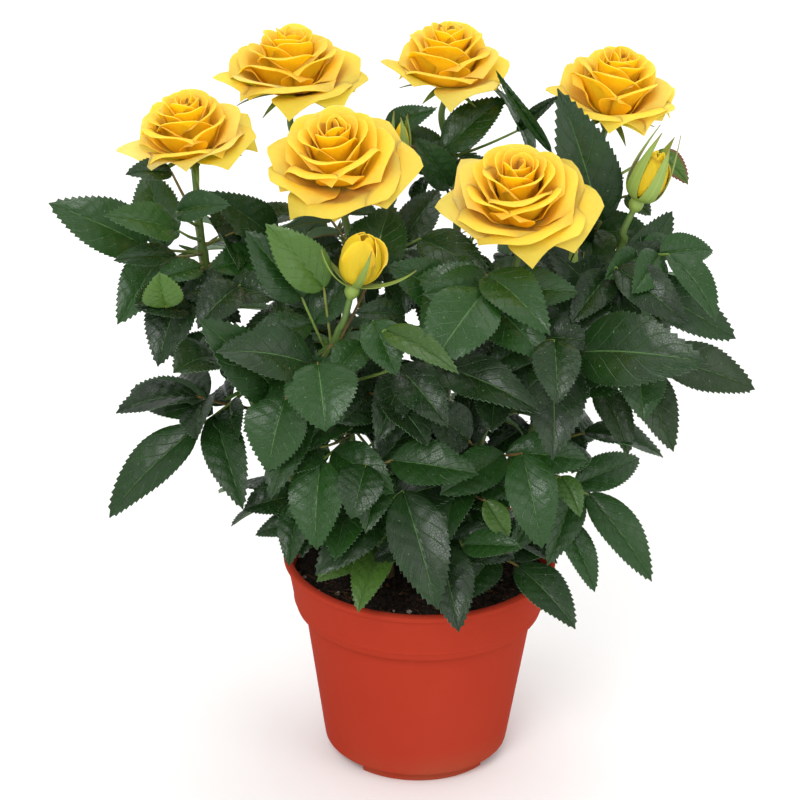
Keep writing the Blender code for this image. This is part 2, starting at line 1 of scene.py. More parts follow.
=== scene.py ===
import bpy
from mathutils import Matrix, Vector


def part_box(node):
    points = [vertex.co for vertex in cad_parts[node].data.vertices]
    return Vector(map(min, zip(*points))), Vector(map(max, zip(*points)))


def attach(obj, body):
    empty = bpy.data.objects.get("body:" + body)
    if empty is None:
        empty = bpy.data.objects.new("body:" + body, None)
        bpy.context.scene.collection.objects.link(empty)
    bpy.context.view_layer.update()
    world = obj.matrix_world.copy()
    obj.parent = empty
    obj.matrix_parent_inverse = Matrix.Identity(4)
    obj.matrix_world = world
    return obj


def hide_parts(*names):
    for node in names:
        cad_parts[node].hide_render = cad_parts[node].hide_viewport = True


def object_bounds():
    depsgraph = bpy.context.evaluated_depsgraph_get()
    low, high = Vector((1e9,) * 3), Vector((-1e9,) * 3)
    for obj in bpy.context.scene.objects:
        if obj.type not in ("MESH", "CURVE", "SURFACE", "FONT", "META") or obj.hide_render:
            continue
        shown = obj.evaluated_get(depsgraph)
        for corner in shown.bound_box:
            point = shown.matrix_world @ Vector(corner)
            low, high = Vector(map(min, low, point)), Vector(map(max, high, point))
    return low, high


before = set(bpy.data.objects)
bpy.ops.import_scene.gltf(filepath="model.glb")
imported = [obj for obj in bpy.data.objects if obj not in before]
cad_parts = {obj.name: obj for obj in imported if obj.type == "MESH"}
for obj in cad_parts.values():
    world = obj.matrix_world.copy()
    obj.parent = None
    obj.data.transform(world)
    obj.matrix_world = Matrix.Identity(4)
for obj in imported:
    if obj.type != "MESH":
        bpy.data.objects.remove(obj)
cadBox = [list(corner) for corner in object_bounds()]

import math
import bpy
import numpy as np
from mathutils import Vector

mm = 0.001
goldenTurn = 137.5      # degrees from one leaf or petal to the next

# where the random draws of each piece start
seeds = {"swells": 4, "grain": 5, "soil": 11, "stems": 8, "leaves": 21, "blooms": 40, "buds": 70,
         "closedBuds": 80}


# Small tools for vectors, paths and meshes

def unit(v):
    return v / np.maximum(np.linalg.norm(v, axis=-1, keepdims=True), 1e-12)


def smoothPath(row, steps):
    # Catmull-Rom: each span is a cubic whose ends lean along the chord between their neighbours
    row = np.array(row, float)
    padded = np.vstack([2 * row[0] - row[1], row, 2 * row[-1] - row[-2]])
    before, start, end, after = (padded[k:len(padded) - 3 + k, None, :] for k in range(4))
    t = (np.arange(steps) / steps)[None, :, None]
    path = 0.5 * (2 * start + (end - before) * t + (2 * before - 5 * start + 4 * end - after) * t ** 2
                  + (3 * start - before - 3 * end + after) * t ** 3)
    return np.vstack([path.reshape(-1, 3), row[-1]])


def bezier(corners, t):
    # cubic curve through two end points, pulled by the two points between them
    a, b, c, d = (np.array(corner, float) for corner in corners)
    t = t[:, None]
    return a * (1 - t) ** 3 + 3 * b * t * (1 - t) ** 2 + 3 * c * t ** 2 * (1 - t) + d * t ** 3


def shell(points, faces, uv, mark, skin=0):
    return {"points": points, "faces": faces, "uv": uv, "mark": mark, "skin": skin}


def thinSheet(grid, thickness, tone=0.5, age=0.0, skin=0):
    # both sides of a sheet: the grid moved half the thickness along its normal each way,
    # and closed round its rim
    normal = unit(np.cross(np.gradient(grid, axis=0), np.gradient(grid, axis=1)))
    half = 0.5 * thickness * normal
    rings = np.concatenate([grid + half, (grid - half)[:, ::-1]], axis=1)
    rows, columns = grid.shape[:2]
    index = np.arange(rows * 2 * columns).reshape(rows, 2 * columns)
    ahead = np.roll(index, -1, axis=1)
    sides = np.stack([index[:-1], index[1:], ahead[1:], ahead[:-1]], axis=-1).reshape(-1, 4)
    top = np.arange(columns - 1)
    under = 2 * columns - 1 - top
    first = np.stack([index[0, top], index[0, top + 1], index[0, under - 1], index[0, under]], axis=-1)
    last = np.stack([index[-1, top], index[-1, under], index[-1, under - 1], index[-1, top + 1]], axis=-1)
    u, v = np.meshgrid(np.linspace(0, 1, rows), np.linspace(0, 1, columns), indexing="ij")
    uv = np.stack([np.hstack([u, u[:, ::-1]]), np.hstack([v, v[:, ::-1]])], axis=-1).reshape(-1, 2)
    mark = np.empty((rows, 2 * columns, 3))
    mark[:] = (tone, 0, age)
    mark[:, columns:, 1] = 1
    faces = np.vstack([sides, first, last]).tolist()
    return shell(rings.reshape(-1, 3), faces, uv, mark.reshape(-1, 3), skin)


def stitched(rings, tone, age, skin):
    # rings of points joined into one closed shape, with a flat cap at both ends
    rows, sides = rings.shape[:2]
    index = np.arange(rows * sides).reshape(rows, sides)
    ahead = np.roll(index, -1, axis=1)
    faces = np.stack([index[:-1], ahead[:-1], ahead[1:], index[1:]], axis=-1).reshape(-1, 4).tolist()
    faces += [index[0, ::-1].tolist(), index[-1].tolist()]
    u, v = np.meshgrid(np.linspace(0, 1, rows), np.arange(sides) / sides, indexing="ij")
    mark = np.broadcast_to((float(tone), 0, age), (rows * sides, 3))
    return shell(rings.reshape(-1, 3), faces, np.stack([u, v], axis=-1).reshape(-1, 2), mark, skin)


def tube(path, radii, sides, tone=0.5, age=0.0, skin=0, reference=(0, 1, 0)):
    # round rings square to the path, each with its own radius, and a flat cap at both ends
    path = np.array(path, float)
    radii = np.broadcast_to(np.array(radii, float), len(path))
    along = unit(np.gradient(path, axis=0))
    across = unit(np.cross(np.array(reference, float), along))
    beside = np.cross(along, across)
    angle = np.linspace(0, 2 * math.pi, sides, endpoint=False)
    ring = np.cos(angle)[None, :, None] * across[:, None] + np.sin(angle)[None, :, None] * beside[:, None]
    return stitched(path[:, None] + radii[:, None, None] * ring, tone, age, skin)


def turned(profile, sides, foot=(0, 0, 0), axis=(0, 0, 1), tone=0.5, age=0.0, skin=0, lift=None):
    # a profile of (radius, height) pairs from low to high, carried round an axis
    profile = np.array(profile, float)
    axis = unit(np.array(axis, float))
    across = unit(np.cross((0, 1, 0), axis))
    beside = np.cross(axis, across)
    angle = np.linspace(0, 2 * math.pi, sides, endpoint=False)
    ring = np.cos(angle)[:, None] * across + np.sin(angle)[:, None] * beside
    height = np.repeat(profile[:, 1:2], sides, axis=1)
    if lift is not None:
        height = height + lift(profile, angle)
    rings = np.array(foot, float) + profile[:, None, 0:1] * ring + height[:, :, None] * axis
    return stitched(rings, tone, age, skin)


def rounded(corners, steps=4):
    # corners are (radius, height, how far the rounding reaches); each becomes a short quadratic curve
    corners = np.array(corners, float)
    spots = corners[:, :2]
    path = [spots[:1]]
    t = np.linspace(0, 1, steps + 1)[:, None]
    for before, spot, after, reach in zip(spots[:-2], spots[1:-1], spots[2:], corners[1:-1, 2]):
        start = spot + unit(before - spot) * reach
        end = spot + unit(after - spot) * reach
        curve = (1 - t) ** 2 * start + 2 * t * (1 - t) * spot + t ** 2 * end
        path.append(curve if reach > 0 else spot[None])
    return np.vstack(path + [spots[-1:]])


def addPiece(name, shells, materials, nodes=(), sharpOver=55):
    start = 0
    faces, skins = [], []
    for part in shells:
        faces += [[corner + start for corner in face] for face in part["faces"]]
        skins += [part["skin"]] * len(part["faces"])
        start += len(part["points"])
    mesh = bpy.data.meshes.new(name)
    mesh.from_pydata(np.vstack([part["points"] for part in shells]).tolist(), [], faces)
    corner = np.empty(len(mesh.loops), dtype=np.int32)
    mesh.loops.foreach_get("vertex_index", corner)
    uv = np.vstack([part["uv"] for part in shells])[corner]
    mesh.uv_layers.new(name="along_across").data.foreach_set("uv", uv.ravel())
    mark = mesh.attributes.new("growth", "FLOAT_VECTOR", "POINT")
    mark.data.foreach_set("vector", np.vstack([part["mark"] for part in shells]).ravel())
    mesh.polygons.foreach_set("material_index", skins)
    for material in materials:
        mesh.materials.append(material)
    mesh.shade_smooth()
    mesh.set_sharp_from_angle(angle=math.radians(sharpOver))
    mesh.update()
    piece = bpy.data.objects.new(name, mesh)
    bpy.context.collection.objects.link(piece)
    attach(piece, "root")
    if nodes:
        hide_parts(*nodes)
    return piece


# Materials: each is built from its own pattern, in metres or in the piece's own along-across map

def srgb(red, green, blue):
    # a colour as seen, 0 to 255, as the linear value that a shader takes
    seen = np.array((red, green, blue)) / 255
    linear = np.where(seen <= 0.04045, seen / 12.92, ((seen + 0.055) / 1.055) ** 2.4)
    return (*linear.tolist(), 1.0)


def newMaterial(name, **sockets):
    material = bpy.data.materials.new(name)
    material.use_nodes = True
    shader = material.node_tree.nodes["Principled BSDF"]
    for socket, value in sockets.items():
        shader.inputs[socket.replace("_", " ")].default_value = value
    return material, material.node_tree, shader


def addNode(tree, kind, inputs=None, **settings):
    node = tree.nodes.new("ShaderNode" + kind)
    for key, value in settings.items():
        setattr(node, key, value)
    for socket, value in (inputs or {}).items():
        if isinstance(value, bpy.types.NodeSocket):
            tree.links.new(value, node.inputs[socket])
        else:
            node.inputs[socket].default_value = value
    return node


def maths(tree, operation, first, second=0.0, third=0.0):
    return addNode(tree, "Math", {0: first, 1: second, 2: third}, operation=operation).outputs[0]


def between(tree, value, low, high, outLow=0.0, outHigh=1.0):
    # value carried smoothly from low..high to outLow..outHigh
    node = addNode(tree, "MapRange", {"Value": value, "From Min": low, "From Max": high,
                                      "To Min": outLow, "To Max": outHigh}, interpolation_type="SMOOTHSTEP")
    return node.outputs["Result"]


def blendColour(tree, share, first, second):
    return addNode(tree, "Mix", {0: share, 6: first, 7: second}, data_type="RGBA").outputs[2]


def blendValue(tree, share, first, second):
    return addNode(tree, "Mix", {0: share, 2: first, 3: second}, data_type="FLOAT").outputs[0]


def noise(tree, scale, detail=3.0, stretch=None, source=None):
    place = source or addNode(tree, "TexCoord").outputs["Object"]
    if stretch:
        place = addNode(tree, "Mapping", {"Vector": place, "Scale": stretch}).outputs[0]
    return addNode(tree, "TexNoise", {"Vector": place, "Scale": scale, "Detail": detail}).outputs["Fac"]


def ownMap(tree, *wanted):
    # along is 0 at the foot and 1 at the tip; side is 0 at the midrib and 1 at the edges. The growth marks
    # are a tone, 1 on an underside, and an age: how young a leaf is, or how far out a petal sits
    flat = addNode(tree, "UVMap", uv_map="along_across").outputs[0]
    along, across, _ = addNode(tree, "SeparateXYZ", {0: flat}).outputs
    side = maths(tree, "ABSOLUTE", maths(tree, "MULTIPLY_ADD", across, 2.0, -1.0))
    growth = addNode(tree, "Attribute", attribute_name="growth", attribute_type="GEOMETRY")
    tone, underside, age = addNode(tree, "SeparateXYZ", {0: growth.outputs["Vector"]}).outputs
    found = {"flat": flat, "along": along, "side": side, "tone": tone, "underside": underside, "age": age}
    return [found[name] for name in wanted]


def heightOf(tree):
    return addNode(tree, "SeparateXYZ", {0: addNode(tree, "TexCoord").outputs["Object"]}).outputs[2]


def setBump(tree, shader, height, strength, distance):
    node = addNode(tree, "Bump", {"Height": height, "Strength": strength, "Distance": distance})
    tree.links.new(node.outputs[0], shader.inputs["Normal"])


leafLooks = {
    "dark": srgb(12, 31, 9),
    "mid": srgb(28, 63, 18),
    "fresh": srgb(70, 102, 36),
    "bronze": srgb(112, 44, 34),
    "under": srgb(104, 132, 96),
    "vein": srgb(92, 128, 72),
    "underVein": srgb(150, 168, 120),
    "veinPairs": 7.0, "veinLean": 0.34, "midribShare": 0.55, "veinShare": 0.13, "netShare": 0.06,
    "netScale": 900.0, "patchScale": 90.0, "gloss": (0.22, 0.34), "underRoughness": 0.62,
}


def leafBladeMaterial():
    looks = leafLooks
    material, tree, shader = newMaterial("leaf_blade", Specular_IOR_Level=0.32)
    along, side, tone, underside, youth = ownMap(tree, "along", "side", "tone", "underside", "age")
    midrib = between(tree, side, 0.015, 0.06, 1.0, 0.0)
    # side veins run forward from the midrib, and a net of fine ones fills the blade between them
    ahead = maths(tree, "SUBTRACT", along, maths(tree, "MULTIPLY", side, looks["veinLean"]))
    phase = maths(tree, "MULTIPLY", ahead, looks["veinPairs"])
    away = maths(tree, "ABSOLUTE", maths(tree, "SUBTRACT", maths(tree, "FRACT", phase), 0.5))
    sideVein = between(tree, away, 0.43, 0.495)
    sideVein = maths(tree, "MULTIPLY", sideVein, between(tree, side, 0.97, 0.6))
    place = addNode(tree, "TexCoord").outputs["Object"]
    cells = addNode(tree, "TexVoronoi", {0: place, "Scale": looks["netScale"]}, feature="DISTANCE_TO_EDGE")
    net = between(tree, cells.outputs["Distance"], 0.0, 0.10, 1.0, 0.0)
    patch = noise(tree, looks["patchScale"], 4.0)
    green = blendColour(tree, between(tree, tone, 0.0, 1.0), looks["dark"], looks["mid"])
    green = blendColour(tree, between(tree, patch, 0.35, 0.75, 0.0, 0.35), green, looks["mid"])
    reddish = blendColour(tree, between(tree, side, 0.55, 1.0), looks["fresh"], looks["bronze"])
    youngGreen = blendColour(tree, between(tree, youth, 0.55, 0.95), looks["fresh"], reddish)
    green = blendColour(tree, between(tree, youth, 0.0, 0.6), green, youngGreen)
    veins = maths(tree, "MULTIPLY", midrib, looks["midribShare"])
    veins = maths(tree, "MAXIMUM", veins, maths(tree, "MULTIPLY", sideVein, looks["veinShare"]))
    veins = maths(tree, "MAXIMUM", veins, maths(tree, "MULTIPLY", net, looks["netShare"]))
    top = blendColour(tree, veins, green, looks["vein"])
    under = blendColour(tree, between(tree, youth, 0.3, 0.9), looks["under"], looks["fresh"])
    under = blendColour(tree, maths(tree, "MULTIPLY", veins, 0.8), under, looks["underVein"])
    tree.links.new(blendColour(tree, underside, top, under), shader.inputs["Base Color"])
    gloss = between(tree, noise(tree, 160.0, 3.0), 0.3, 0.7, *looks["gloss"])
    tree.links.new(blendValue(tree, underside, gloss, looks["underRoughness"]), shader.inputs["Roughness"])
    relief = maths(tree, "MULTIPLY_ADD", midrib, -0.7, maths(tree, "MULTIPLY", sideVein, -0.6))
    relief = maths(tree, "ADD", relief, maths(tree, "MULTIPLY", net, -0.10))
    relief = maths(tree, "ADD", relief, maths(tree, "MULTIPLY", noise(tree, 300.0, 2.0), 0.12))
    setBump(tree, shader, relief, 0.55, 0.0006)
    return material


stemLooks = {
    "foot": srgb(92, 74, 44),
    "green": srgb(84, 112, 46),
    "fresh": srgb(128, 156, 66),
    "blush": srgb(122, 66, 44),
    "woodyFromTo": (0.085, 0.19),
}


def stemMaterial():
    looks = stemLooks
    material, tree, shader = newMaterial("rose_stem", Roughness=0.42)
    tone, youth = ownMap(tree, "tone", "age")
    woody = between(tree, heightOf(tree), *looks["woodyFromTo"])
    skin = blendColour(tree, woody, looks["foot"], looks["green"])
    skin = blendColour(tree, youth, skin, looks["fresh"])
    streak = noise(tree, 240.0, 3.0, stretch=(3.0, 3.0, 0.35))
    skin = blendColour(tree, between(tree, streak, 0.45, 0.75, 0.0, 0.5), skin, looks["foot"])
    skin = blendColour(tree, between(tree, tone, 0.6, 1.0, 0.0, 0.75), skin, looks["blush"])
    tree.links.new(skin, shader.inputs["Base Color"])
    setBump(tree, shader, streak, 0.4, 0.0004)
    return material


petalLooks = {
    "heart": srgb(255, 180, 10),
    "bright": srgb(255, 196, 20),
    "pale": srgb(255, 204, 44),
    "cream": srgb(253, 218, 118),
    "green": srgb(196, 206, 84),
}


def petalMaterial():
    looks = petalLooks
    material, tree, shader = newMaterial("rose_petal", Roughness=0.6, Subsurface_Weight=0.65,
                                         Subsurface_Scale=0.008, Specular_IOR_Level=0.2)
    shader.inputs["Subsurface Radius"].default_value = (1.0, 0.78, 0.16)
    flat, along, side = ownMap(tree, "flat", "along", "side")
    tone, underside, out = ownMap(tree, "tone", "underside", "age")
    yellow = blendColour(tree, between(tree, out, 0.0, 0.5), looks["heart"], looks["bright"])
    yellow = blendColour(tree, between(tree, out, 0.62, 1.0, 0.0, 0.8), yellow, looks["pale"])
    deep = between(tree, along, 0.65, 0.15, 0.0, 0.6)
    deep = maths(tree, "MULTIPLY", deep, between(tree, out, 1.0, 0.2, 0.35, 1.0))
    yellow = blendColour(tree, deep, yellow, looks["heart"])
    rim = maths(tree, "MAXIMUM", between(tree, along, 0.86, 1.0), between(tree, side, 0.82, 1.0))
    yellow = blendColour(tree, maths(tree, "MULTIPLY", rim, 0.45), yellow, looks["pale"])
    paler = maths(tree, "MULTIPLY", between(tree, tone, 0.62, 1.0), between(tree, out, 0.55, 1.0))
    yellow = blendColour(tree, maths(tree, "MULTIPLY", paler, 0.8), yellow, looks["cream"])
    veins = noise(tree, 26.0, 4.0, stretch=(0.22, 1.0, 1.0), source=flat)
    blotch = noise(tree, 120.0, 3.0)
    yellow = blendColour(tree, between(tree, veins, 0.42, 0.62, 0.0, 0.16), yellow, looks["heart"])
    yellow = blendColour(tree, between(tree, blotch, 0.5, 0.8, 0.0, 0.15), yellow, looks["pale"])
    back = blendColour(tree, 0.25, yellow, looks["cream"])
    back = blendColour(tree, between(tree, along, 0.30, 0.0, 0.0, 0.7), back, looks["green"])
    tree.links.new(blendColour(tree, underside, yellow, back), shader.inputs["Base Color"])
    setBump(tree, shader, veins, 0.35, 0.0006)
    return material


sepalLooks = {
    "dark": srgb(62, 96, 36),
    "light": srgb(104, 134, 56),
    "young": srgb(150, 170, 74),
    "rib": srgb(152, 172, 98),
    "tip": srgb(120, 80, 50),
}


def sepalMaterial():
    looks = sepalLooks
    material, tree, shader = newMaterial("rose_sepal", Roughness=0.5)
    along, side, youth = ownMap(tree, "along", "side", "age")
    rib = between(tree, side, 0.05, 0.16, 1.0, 0.0)
    green = blendColour(tree, noise(tree, 260.0, 3.0), looks["dark"], looks["light"])
    green = blendColour(tree, youth, green, looks["young"])
    green = blendColour(tree, maths(tree, "MULTIPLY", rib, 0.4), green, looks["rib"])
    green = blendColour(tree, between(tree, along, 0.8, 1.0, 0.0, 0.5), green, looks["tip"])
    tree.links.new(green, shader.inputs["Base Color"])
    setBump(tree, shader, noise(tree, 700.0, 2.0), 0.3, 0.0003)
    return material


potLooks = {
    "clay": srgb(160, 52, 35),
    "worn": srgb(168, 66, 47),
    "dust": srgb(150, 84, 60),
}


def potMaterial():
    looks = potLooks
    material, tree, shader = newMaterial("terracotta_plastic", Specular_IOR_Level=0.05, IOR=1.12)
    cloud = noise(tree, 16.0, 4.0)
    scuff = noise(tree, 260.0, 4.0, stretch=(1.0, 1.0, 0.15))
    clay = blendColour(tree, between(tree, cloud, 0.35, 0.7, 0.0, 0.22), looks["clay"], looks["worn"])
    clay = blendColour(tree, between(tree, scuff, 0.62, 0.8, 0.0, 0.25), clay, looks["worn"])
    low = maths(tree, "MULTIPLY", between(tree, heightOf(tree), 0.02, 0.0), between(tree, cloud, 0.4, 0.7))
    clay = blendColour(tree, maths(tree, "MULTIPLY", low, 0.5), clay, looks["dust"])
    tree.links.new(clay, shader.inputs["Base Color"])
    rough = between(tree, cloud, 0.3, 0.7, 0.46, 0.56)
    rough = maths(tree, "ADD", rough, between(tree, scuff, 0.5, 0.8, 0.0, 0.14))
    tree.links.new(rough, shader.inputs["Roughness"])
    grain = maths(tree, "ADD", maths(tree, "MULTIPLY", noise(tree, 900.0, 2.0), 0.4), noise(tree, 45.0, 2.0))
    setBump(tree, shader, grain, 0.18, 0.0006)
    return material


def soilMaterial(name, dark, light, scale):
    material, tree, shader = newMaterial(name, Roughness=0.92, Specular_IOR_Level=0.25)
    crumbs = noise(tree, scale, 6.0)
    fine = noise(tree, 4 * scale, 4.0)
    earth = blendColour(tree, between(tree, crumbs, 0.35, 0.7), dark, light)
    earth = blendColour(tree, between(tree, fine, 0.6, 0.8, 0.0, 0.5), earth, light)
    tree.links.new(earth, shader.inputs["Base Color"])
    setBump(tree, shader, maths(tree, "ADD", crumbs, fine), 0.9, 0.0012)
    return material


leafBlade = leafBladeMaterial()
roseStem = stemMaterial()
rosePetal = petalMaterial()
roseSepal = sepalMaterial()
potPlastic = potMaterial()
peat = soilMaterial("peat_soil", srgb(24, 17, 13), srgb(62, 46, 35), 500.0)
perlite = soilMaterial("perlite", srgb(150, 138, 120), srgb(214, 206, 190), 900.0)
bark = soilMaterial("bark_chips", srgb(74, 46, 28), srgb(132, 92, 58), 700.0)
print("materials ready")


# Places shared by every piece, from the model's own boxes

potLow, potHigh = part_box("pot")
rimRadius = 0.5 * (potHigh[0] - potLow[0])
potTop = potHigh[2]
soilBelowRim = 10 * mm
soilTop = potTop - soilBelowRim


def grown(spot):
    # a place in the plant: millimetres from the pot's axis, and over the soil
    return np.array((spot[0] * mm, spot[1] * mm, soilTop + spot[2] * mm))


# Pot: one moulded wall, turned, with the foot lifted over three drain slots

potPlan = {
    "wall": 1.6 * mm, "lipHeight": 3.6 * mm, "lipOut": 1.6 * mm,
    "collarHeight": 25 * mm, "collarTaper": 4.2 * mm, "stepIn": 4.2 * mm,
    "bodyTaper": 9.4 * mm, "footInset": 4.8 * mm, "footHeight": 3.4 * mm,
    "slots": 3, "slotWidth": 15 * mm, "slotHeight": 4.6 * mm, "slotDepth": 4.2 * mm,
    "slotTurn": 97,
    "baseRecess": 1.0 * mm, "beadOut": 0.25 * mm, "beadHeight": 4.2 * mm, "sides": 288,
}


def makePot():
    plan = potPlan
    wall = plan["wall"]
    lipUnder = potTop - plan["lipHeight"]
    collarTop = rimRadius - plan["lipOut"]
    collarFoot = collarTop - plan["collarTaper"]
    stepHeight = potTop - plan["collarHeight"]
    bodyTop = collarFoot - plan["stepIn"]
    bodyFoot = bodyTop - plan["bodyTaper"]
    foot = bodyFoot - plan["footInset"]
    footHeight = plan["footHeight"]
    bead = plan["beadHeight"]
    out = plan["beadOut"]

    def collar(height):
        return collarFoot + (collarTop - collarFoot) * (height - stepHeight) / (lipUnder - stepHeight)

    corners = [
        (1 * mm, plan["baseRecess"], 0), (foot - 4 * mm, plan["baseRecess"], 0.6 * mm),
        (foot - 3.4 * mm, 0, 0.3 * mm), (foot, 0, 0.7 * mm), (foot + 0.1 * mm, footHeight, 0.3 * mm),
        (foot + 1.6 * mm, footHeight + 0.5 * mm, 0.5 * mm),
        (bodyFoot - 0.5 * mm, footHeight + 1.8 * mm, 1.2 * mm),
        (bodyFoot + 0.1 * mm, 2.2 * footHeight + 1 * mm, 1 * mm), (bodyTop, stepHeight - 3.2 * mm, 1 * mm),
        (bodyTop + 0.9 * mm, stepHeight - 0.6 * mm, 0.8 * mm), (collarFoot - 0.2 * mm, stepHeight, 0.9 * mm),
        (collar(stepHeight + bead - 1 * mm), stepHeight + bead - 1 * mm, 0.2 * mm),
        (collar(stepHeight + bead) + out, stepHeight + bead - 0.4 * mm, 0.15 * mm),
        (collar(stepHeight + bead) + out, stepHeight + bead + 0.4 * mm, 0.15 * mm),
        (collar(stepHeight + bead + 1 * mm), stepHeight + bead + 1 * mm, 0.2 * mm),
        (collarTop - 0.05 * mm, lipUnder, 0.25 * mm), (rimRadius, lipUnder + 0.7 * mm, 0.6 * mm),
        (rimRadius, potTop - 0.9 * mm, 0.2 * mm), (rimRadius - 1.0 * mm, potTop, 0.9 * mm),
        (collarTop - wall + 0.2 * mm, potTop, 0.5 * mm), (collarTop - wall, potTop - 1 * mm, 0.3 * mm),
        (collarFoot - wall, stepHeight + 2.2 * mm, 0.8 * mm),
        (bodyTop - wall, stepHeight - 2.4 * mm, 0.8 * mm),
        (bodyFoot - wall, 2.2 * footHeight + wall, 1 * mm), (foot - wall, footHeight + wall, 0.4 * mm),
        (foot - wall, wall + plan["baseRecess"], 0.4 * mm), (1 * mm, wall + plan["baseRecess"], 0),
    ]

    def slotLift(profile, angle):
        # 1 inside a slot and 0 outside it, times how far each low ring has to rise to clear the slot
        pitch = 2 * math.pi / plan["slots"]
        away = (angle - math.radians(plan["slotTurn"]) + 0.5 * pitch) % pitch - 0.5 * pitch
        inside = np.abs(away) * foot < 0.5 * plan["slotWidth"]
        outer = profile[:, 0] > foot - plan["slotDepth"]
        rise = np.where(outer & (profile[:, 1] < plan["slotHeight"]), plan["slotHeight"] - profile[:, 1], 0)
        order = np.arange(len(profile))
        inner = outer & (order > len(profile) // 2) & (profile[:, 1] < plan["slotHeight"] + wall)
        rise = np.where(inner, plan["slotHeight"] + wall - profile[:, 1], rise)
        return rise[:, None] * inside[None, :]

    body = turned(rounded(corners), plan["sides"], lift=slotLift)
    addPiece("moulded_pot", [body], [potPlastic], ["pot"], sharpOver=35)


# Soil: a crumbly disc with loose bits on it

soilPlan = {
    "depth": 12 * mm, "rows": 70, "sides": 220, "swell": 0.9 * mm, "grain": 0.224 * mm, "settled": 0.8 * mm,
    # long swells and short ones: the wave in millimetres, and its share of the swell
    "swells": ((60, 1.0), (34, 0.7), (19, 0.6), (9, 0.45), (5.5, 0.4), (3.4, 0.3), (2.1, 0.25)),
    "lumpRings": (-0.98, -0.55, 0.1, 0.62, 0.98), "lumpSides": 6, "lumpDents": (0.7, 1.25), "fibres": 70,
    # what lies on the soil: how many, smallest and largest in millimetres, and their proportions
    "crumbs": (900, 0.5, 1.9, (1, 1, 1)), "perlite": (46, 0.7, 1.6, (1, 1, 1)),
    "bark": (60, 0.8, 2.4, (1.6, 0.7, 0.35)),
}


def soilHeight(x, y):
    # a sum of sines that run in different directions, three for each length of wave
    rng = np.random.default_rng(seeds["swells"])
    height = np.zeros_like(x)
    for length, size in soilPlan["swells"]:
        turns = rng.uniform(0, 2 * math.pi, (3, 2))
        for heading, shift in turns:
            run = (x * math.cos(heading) + y * math.sin(heading)) / (length * mm)
            height = height + size * np.sin(2 * math.pi * run + shift) / 3
    return soilPlan["swell"] * height


def lump(centre, size, rng, skin):
    # a ball of a few small rings, with every point pushed in or out, turned at random
    heights = np.array(soilPlan["lumpRings"])
    shape = len(heights), soilPlan["lumpSides"]
    angle = np.linspace(0, 2 * math.pi, shape[1], endpoint=False)
    radius = np.sqrt(1 - heights ** 2)[:, None] * rng.uniform(*soilPlan["lumpDents"], shape)
    level = np.repeat(heights[:, None], shape[1], axis=1) * rng.uniform(0.8, 1.2)
    points = np.stack([radius * np.cos(angle), radius * np.sin(angle), level], axis=-1).reshape(-1, 3)
    turn = np.linalg.qr(rng.normal(size=(3, 3)))[0]
    if np.linalg.det(turn) < 0:
        turn[:, 0] *= -1
    points = (points * size) @ turn.T + centre
    return stitched(points.reshape(*shape, 3), rng.uniform(), 0, skin)


def makeSoil():
    plan = soilPlan
    rng = np.random.default_rng(seeds["soil"])
    edge = rimRadius - potPlan["lipOut"] - potPlan["wall"] - 1.6 * mm
    reach = np.linspace(0.01, 1, plan["rows"]) ** 0.8 * edge
    profile = [(1 * mm, soilTop - plan["depth"]), (edge - 1.2 * mm, soilTop - plan["depth"])]
    profile += [(radius, soilTop) for radius in reach[::-1]]

    def bumpy(rows, angle):
        x = rows[:, 0:1] * np.cos(angle)
        y = rows[:, 0:1] * np.sin(angle)
        top = (rows[:, 1:2] > soilTop - 1 * mm) * np.ones_like(x)
        grain = plan["grain"] * np.random.default_rng(seeds["grain"]).normal(size=x.shape)
        return top * (soilHeight(x, y) + grain - plan["settled"])

    shells = [turned(profile, plan["sides"], lift=bumpy)]
    for skin, kind in enumerate(("crumbs", "perlite", "bark")):
        count, small, large, proportions = plan[kind]
        for _ in range(count):
            radius = edge * math.sqrt(rng.uniform(0, 0.97))
            angle = rng.uniform(0, 2 * math.pi)
            x, y = radius * math.cos(angle), radius * math.sin(angle)
            size = mm * (small + (large - small) * rng.uniform() ** 2)
            z = soilTop - plan["settled"] + float(soilHeight(np.array(x), np.array(y))) + 0.25 * size
            shape = size * rng.uniform(0.5, 1.0, 3) * proportions
            shells.append(lump(np.array((x, y, z)), shape, rng, skin))
    for _ in range(plan["fibres"]):
        radius, angle, heading = edge * math.sqrt(rng.uniform(0, 0.9)), *rng.uniform(0, 2 * math.pi, 2)
        start = np.array((radius * math.cos(angle), radius * math.sin(angle)))
        step = rng.uniform(1.5, 3.5) * mm
        turns = heading + np.cumsum(rng.normal(0, 0.5, 4))
        path = start + np.cumsum(step * np.stack([np.cos(turns), np.sin(turns)], axis=-1), axis=0)
        path = path[np.hypot(path[:, 0], path[:, 1]) < edge - 1 * mm]
        if len(path) > 2:
            z = soilTop + soilHeight(path[:, 0], path[:, 1]) + rng.uniform(-0.4, 0.9, len(path)) * mm
            fibre = smoothPath(np.column_stack([path, z]), 3)
            shells.append(tube(fibre, 0.22 * mm, 5, reference=(0, 0, 1), skin=2))
    addPiece("potting_soil", shells, [peat, perlite, bark], ["soil"], sharpOver=70)


# Canes: each rises from the soil through its points to the foot of a flower

canePlan = {
    "footRadius": 2.4 * mm, "topRadius": 1.35 * mm, "shootRadius": 0.95 * mm, "buried": 24 * mm,
    "steps": 8, "sides": 16, "nodeSwell": 0.4 * mm, "nodeLength": 1.8 * mm,
    "hipRadius": 3.4 * mm, "hipHeight": 6.8 * mm,
    "thornsFrom": 14, "thornsApart": 15, "thornsStop": 40, "thornLength": 3.4 * mm, "thornDrop": 1.5 * mm,
    "thornRadius": 1.15 * mm,
}

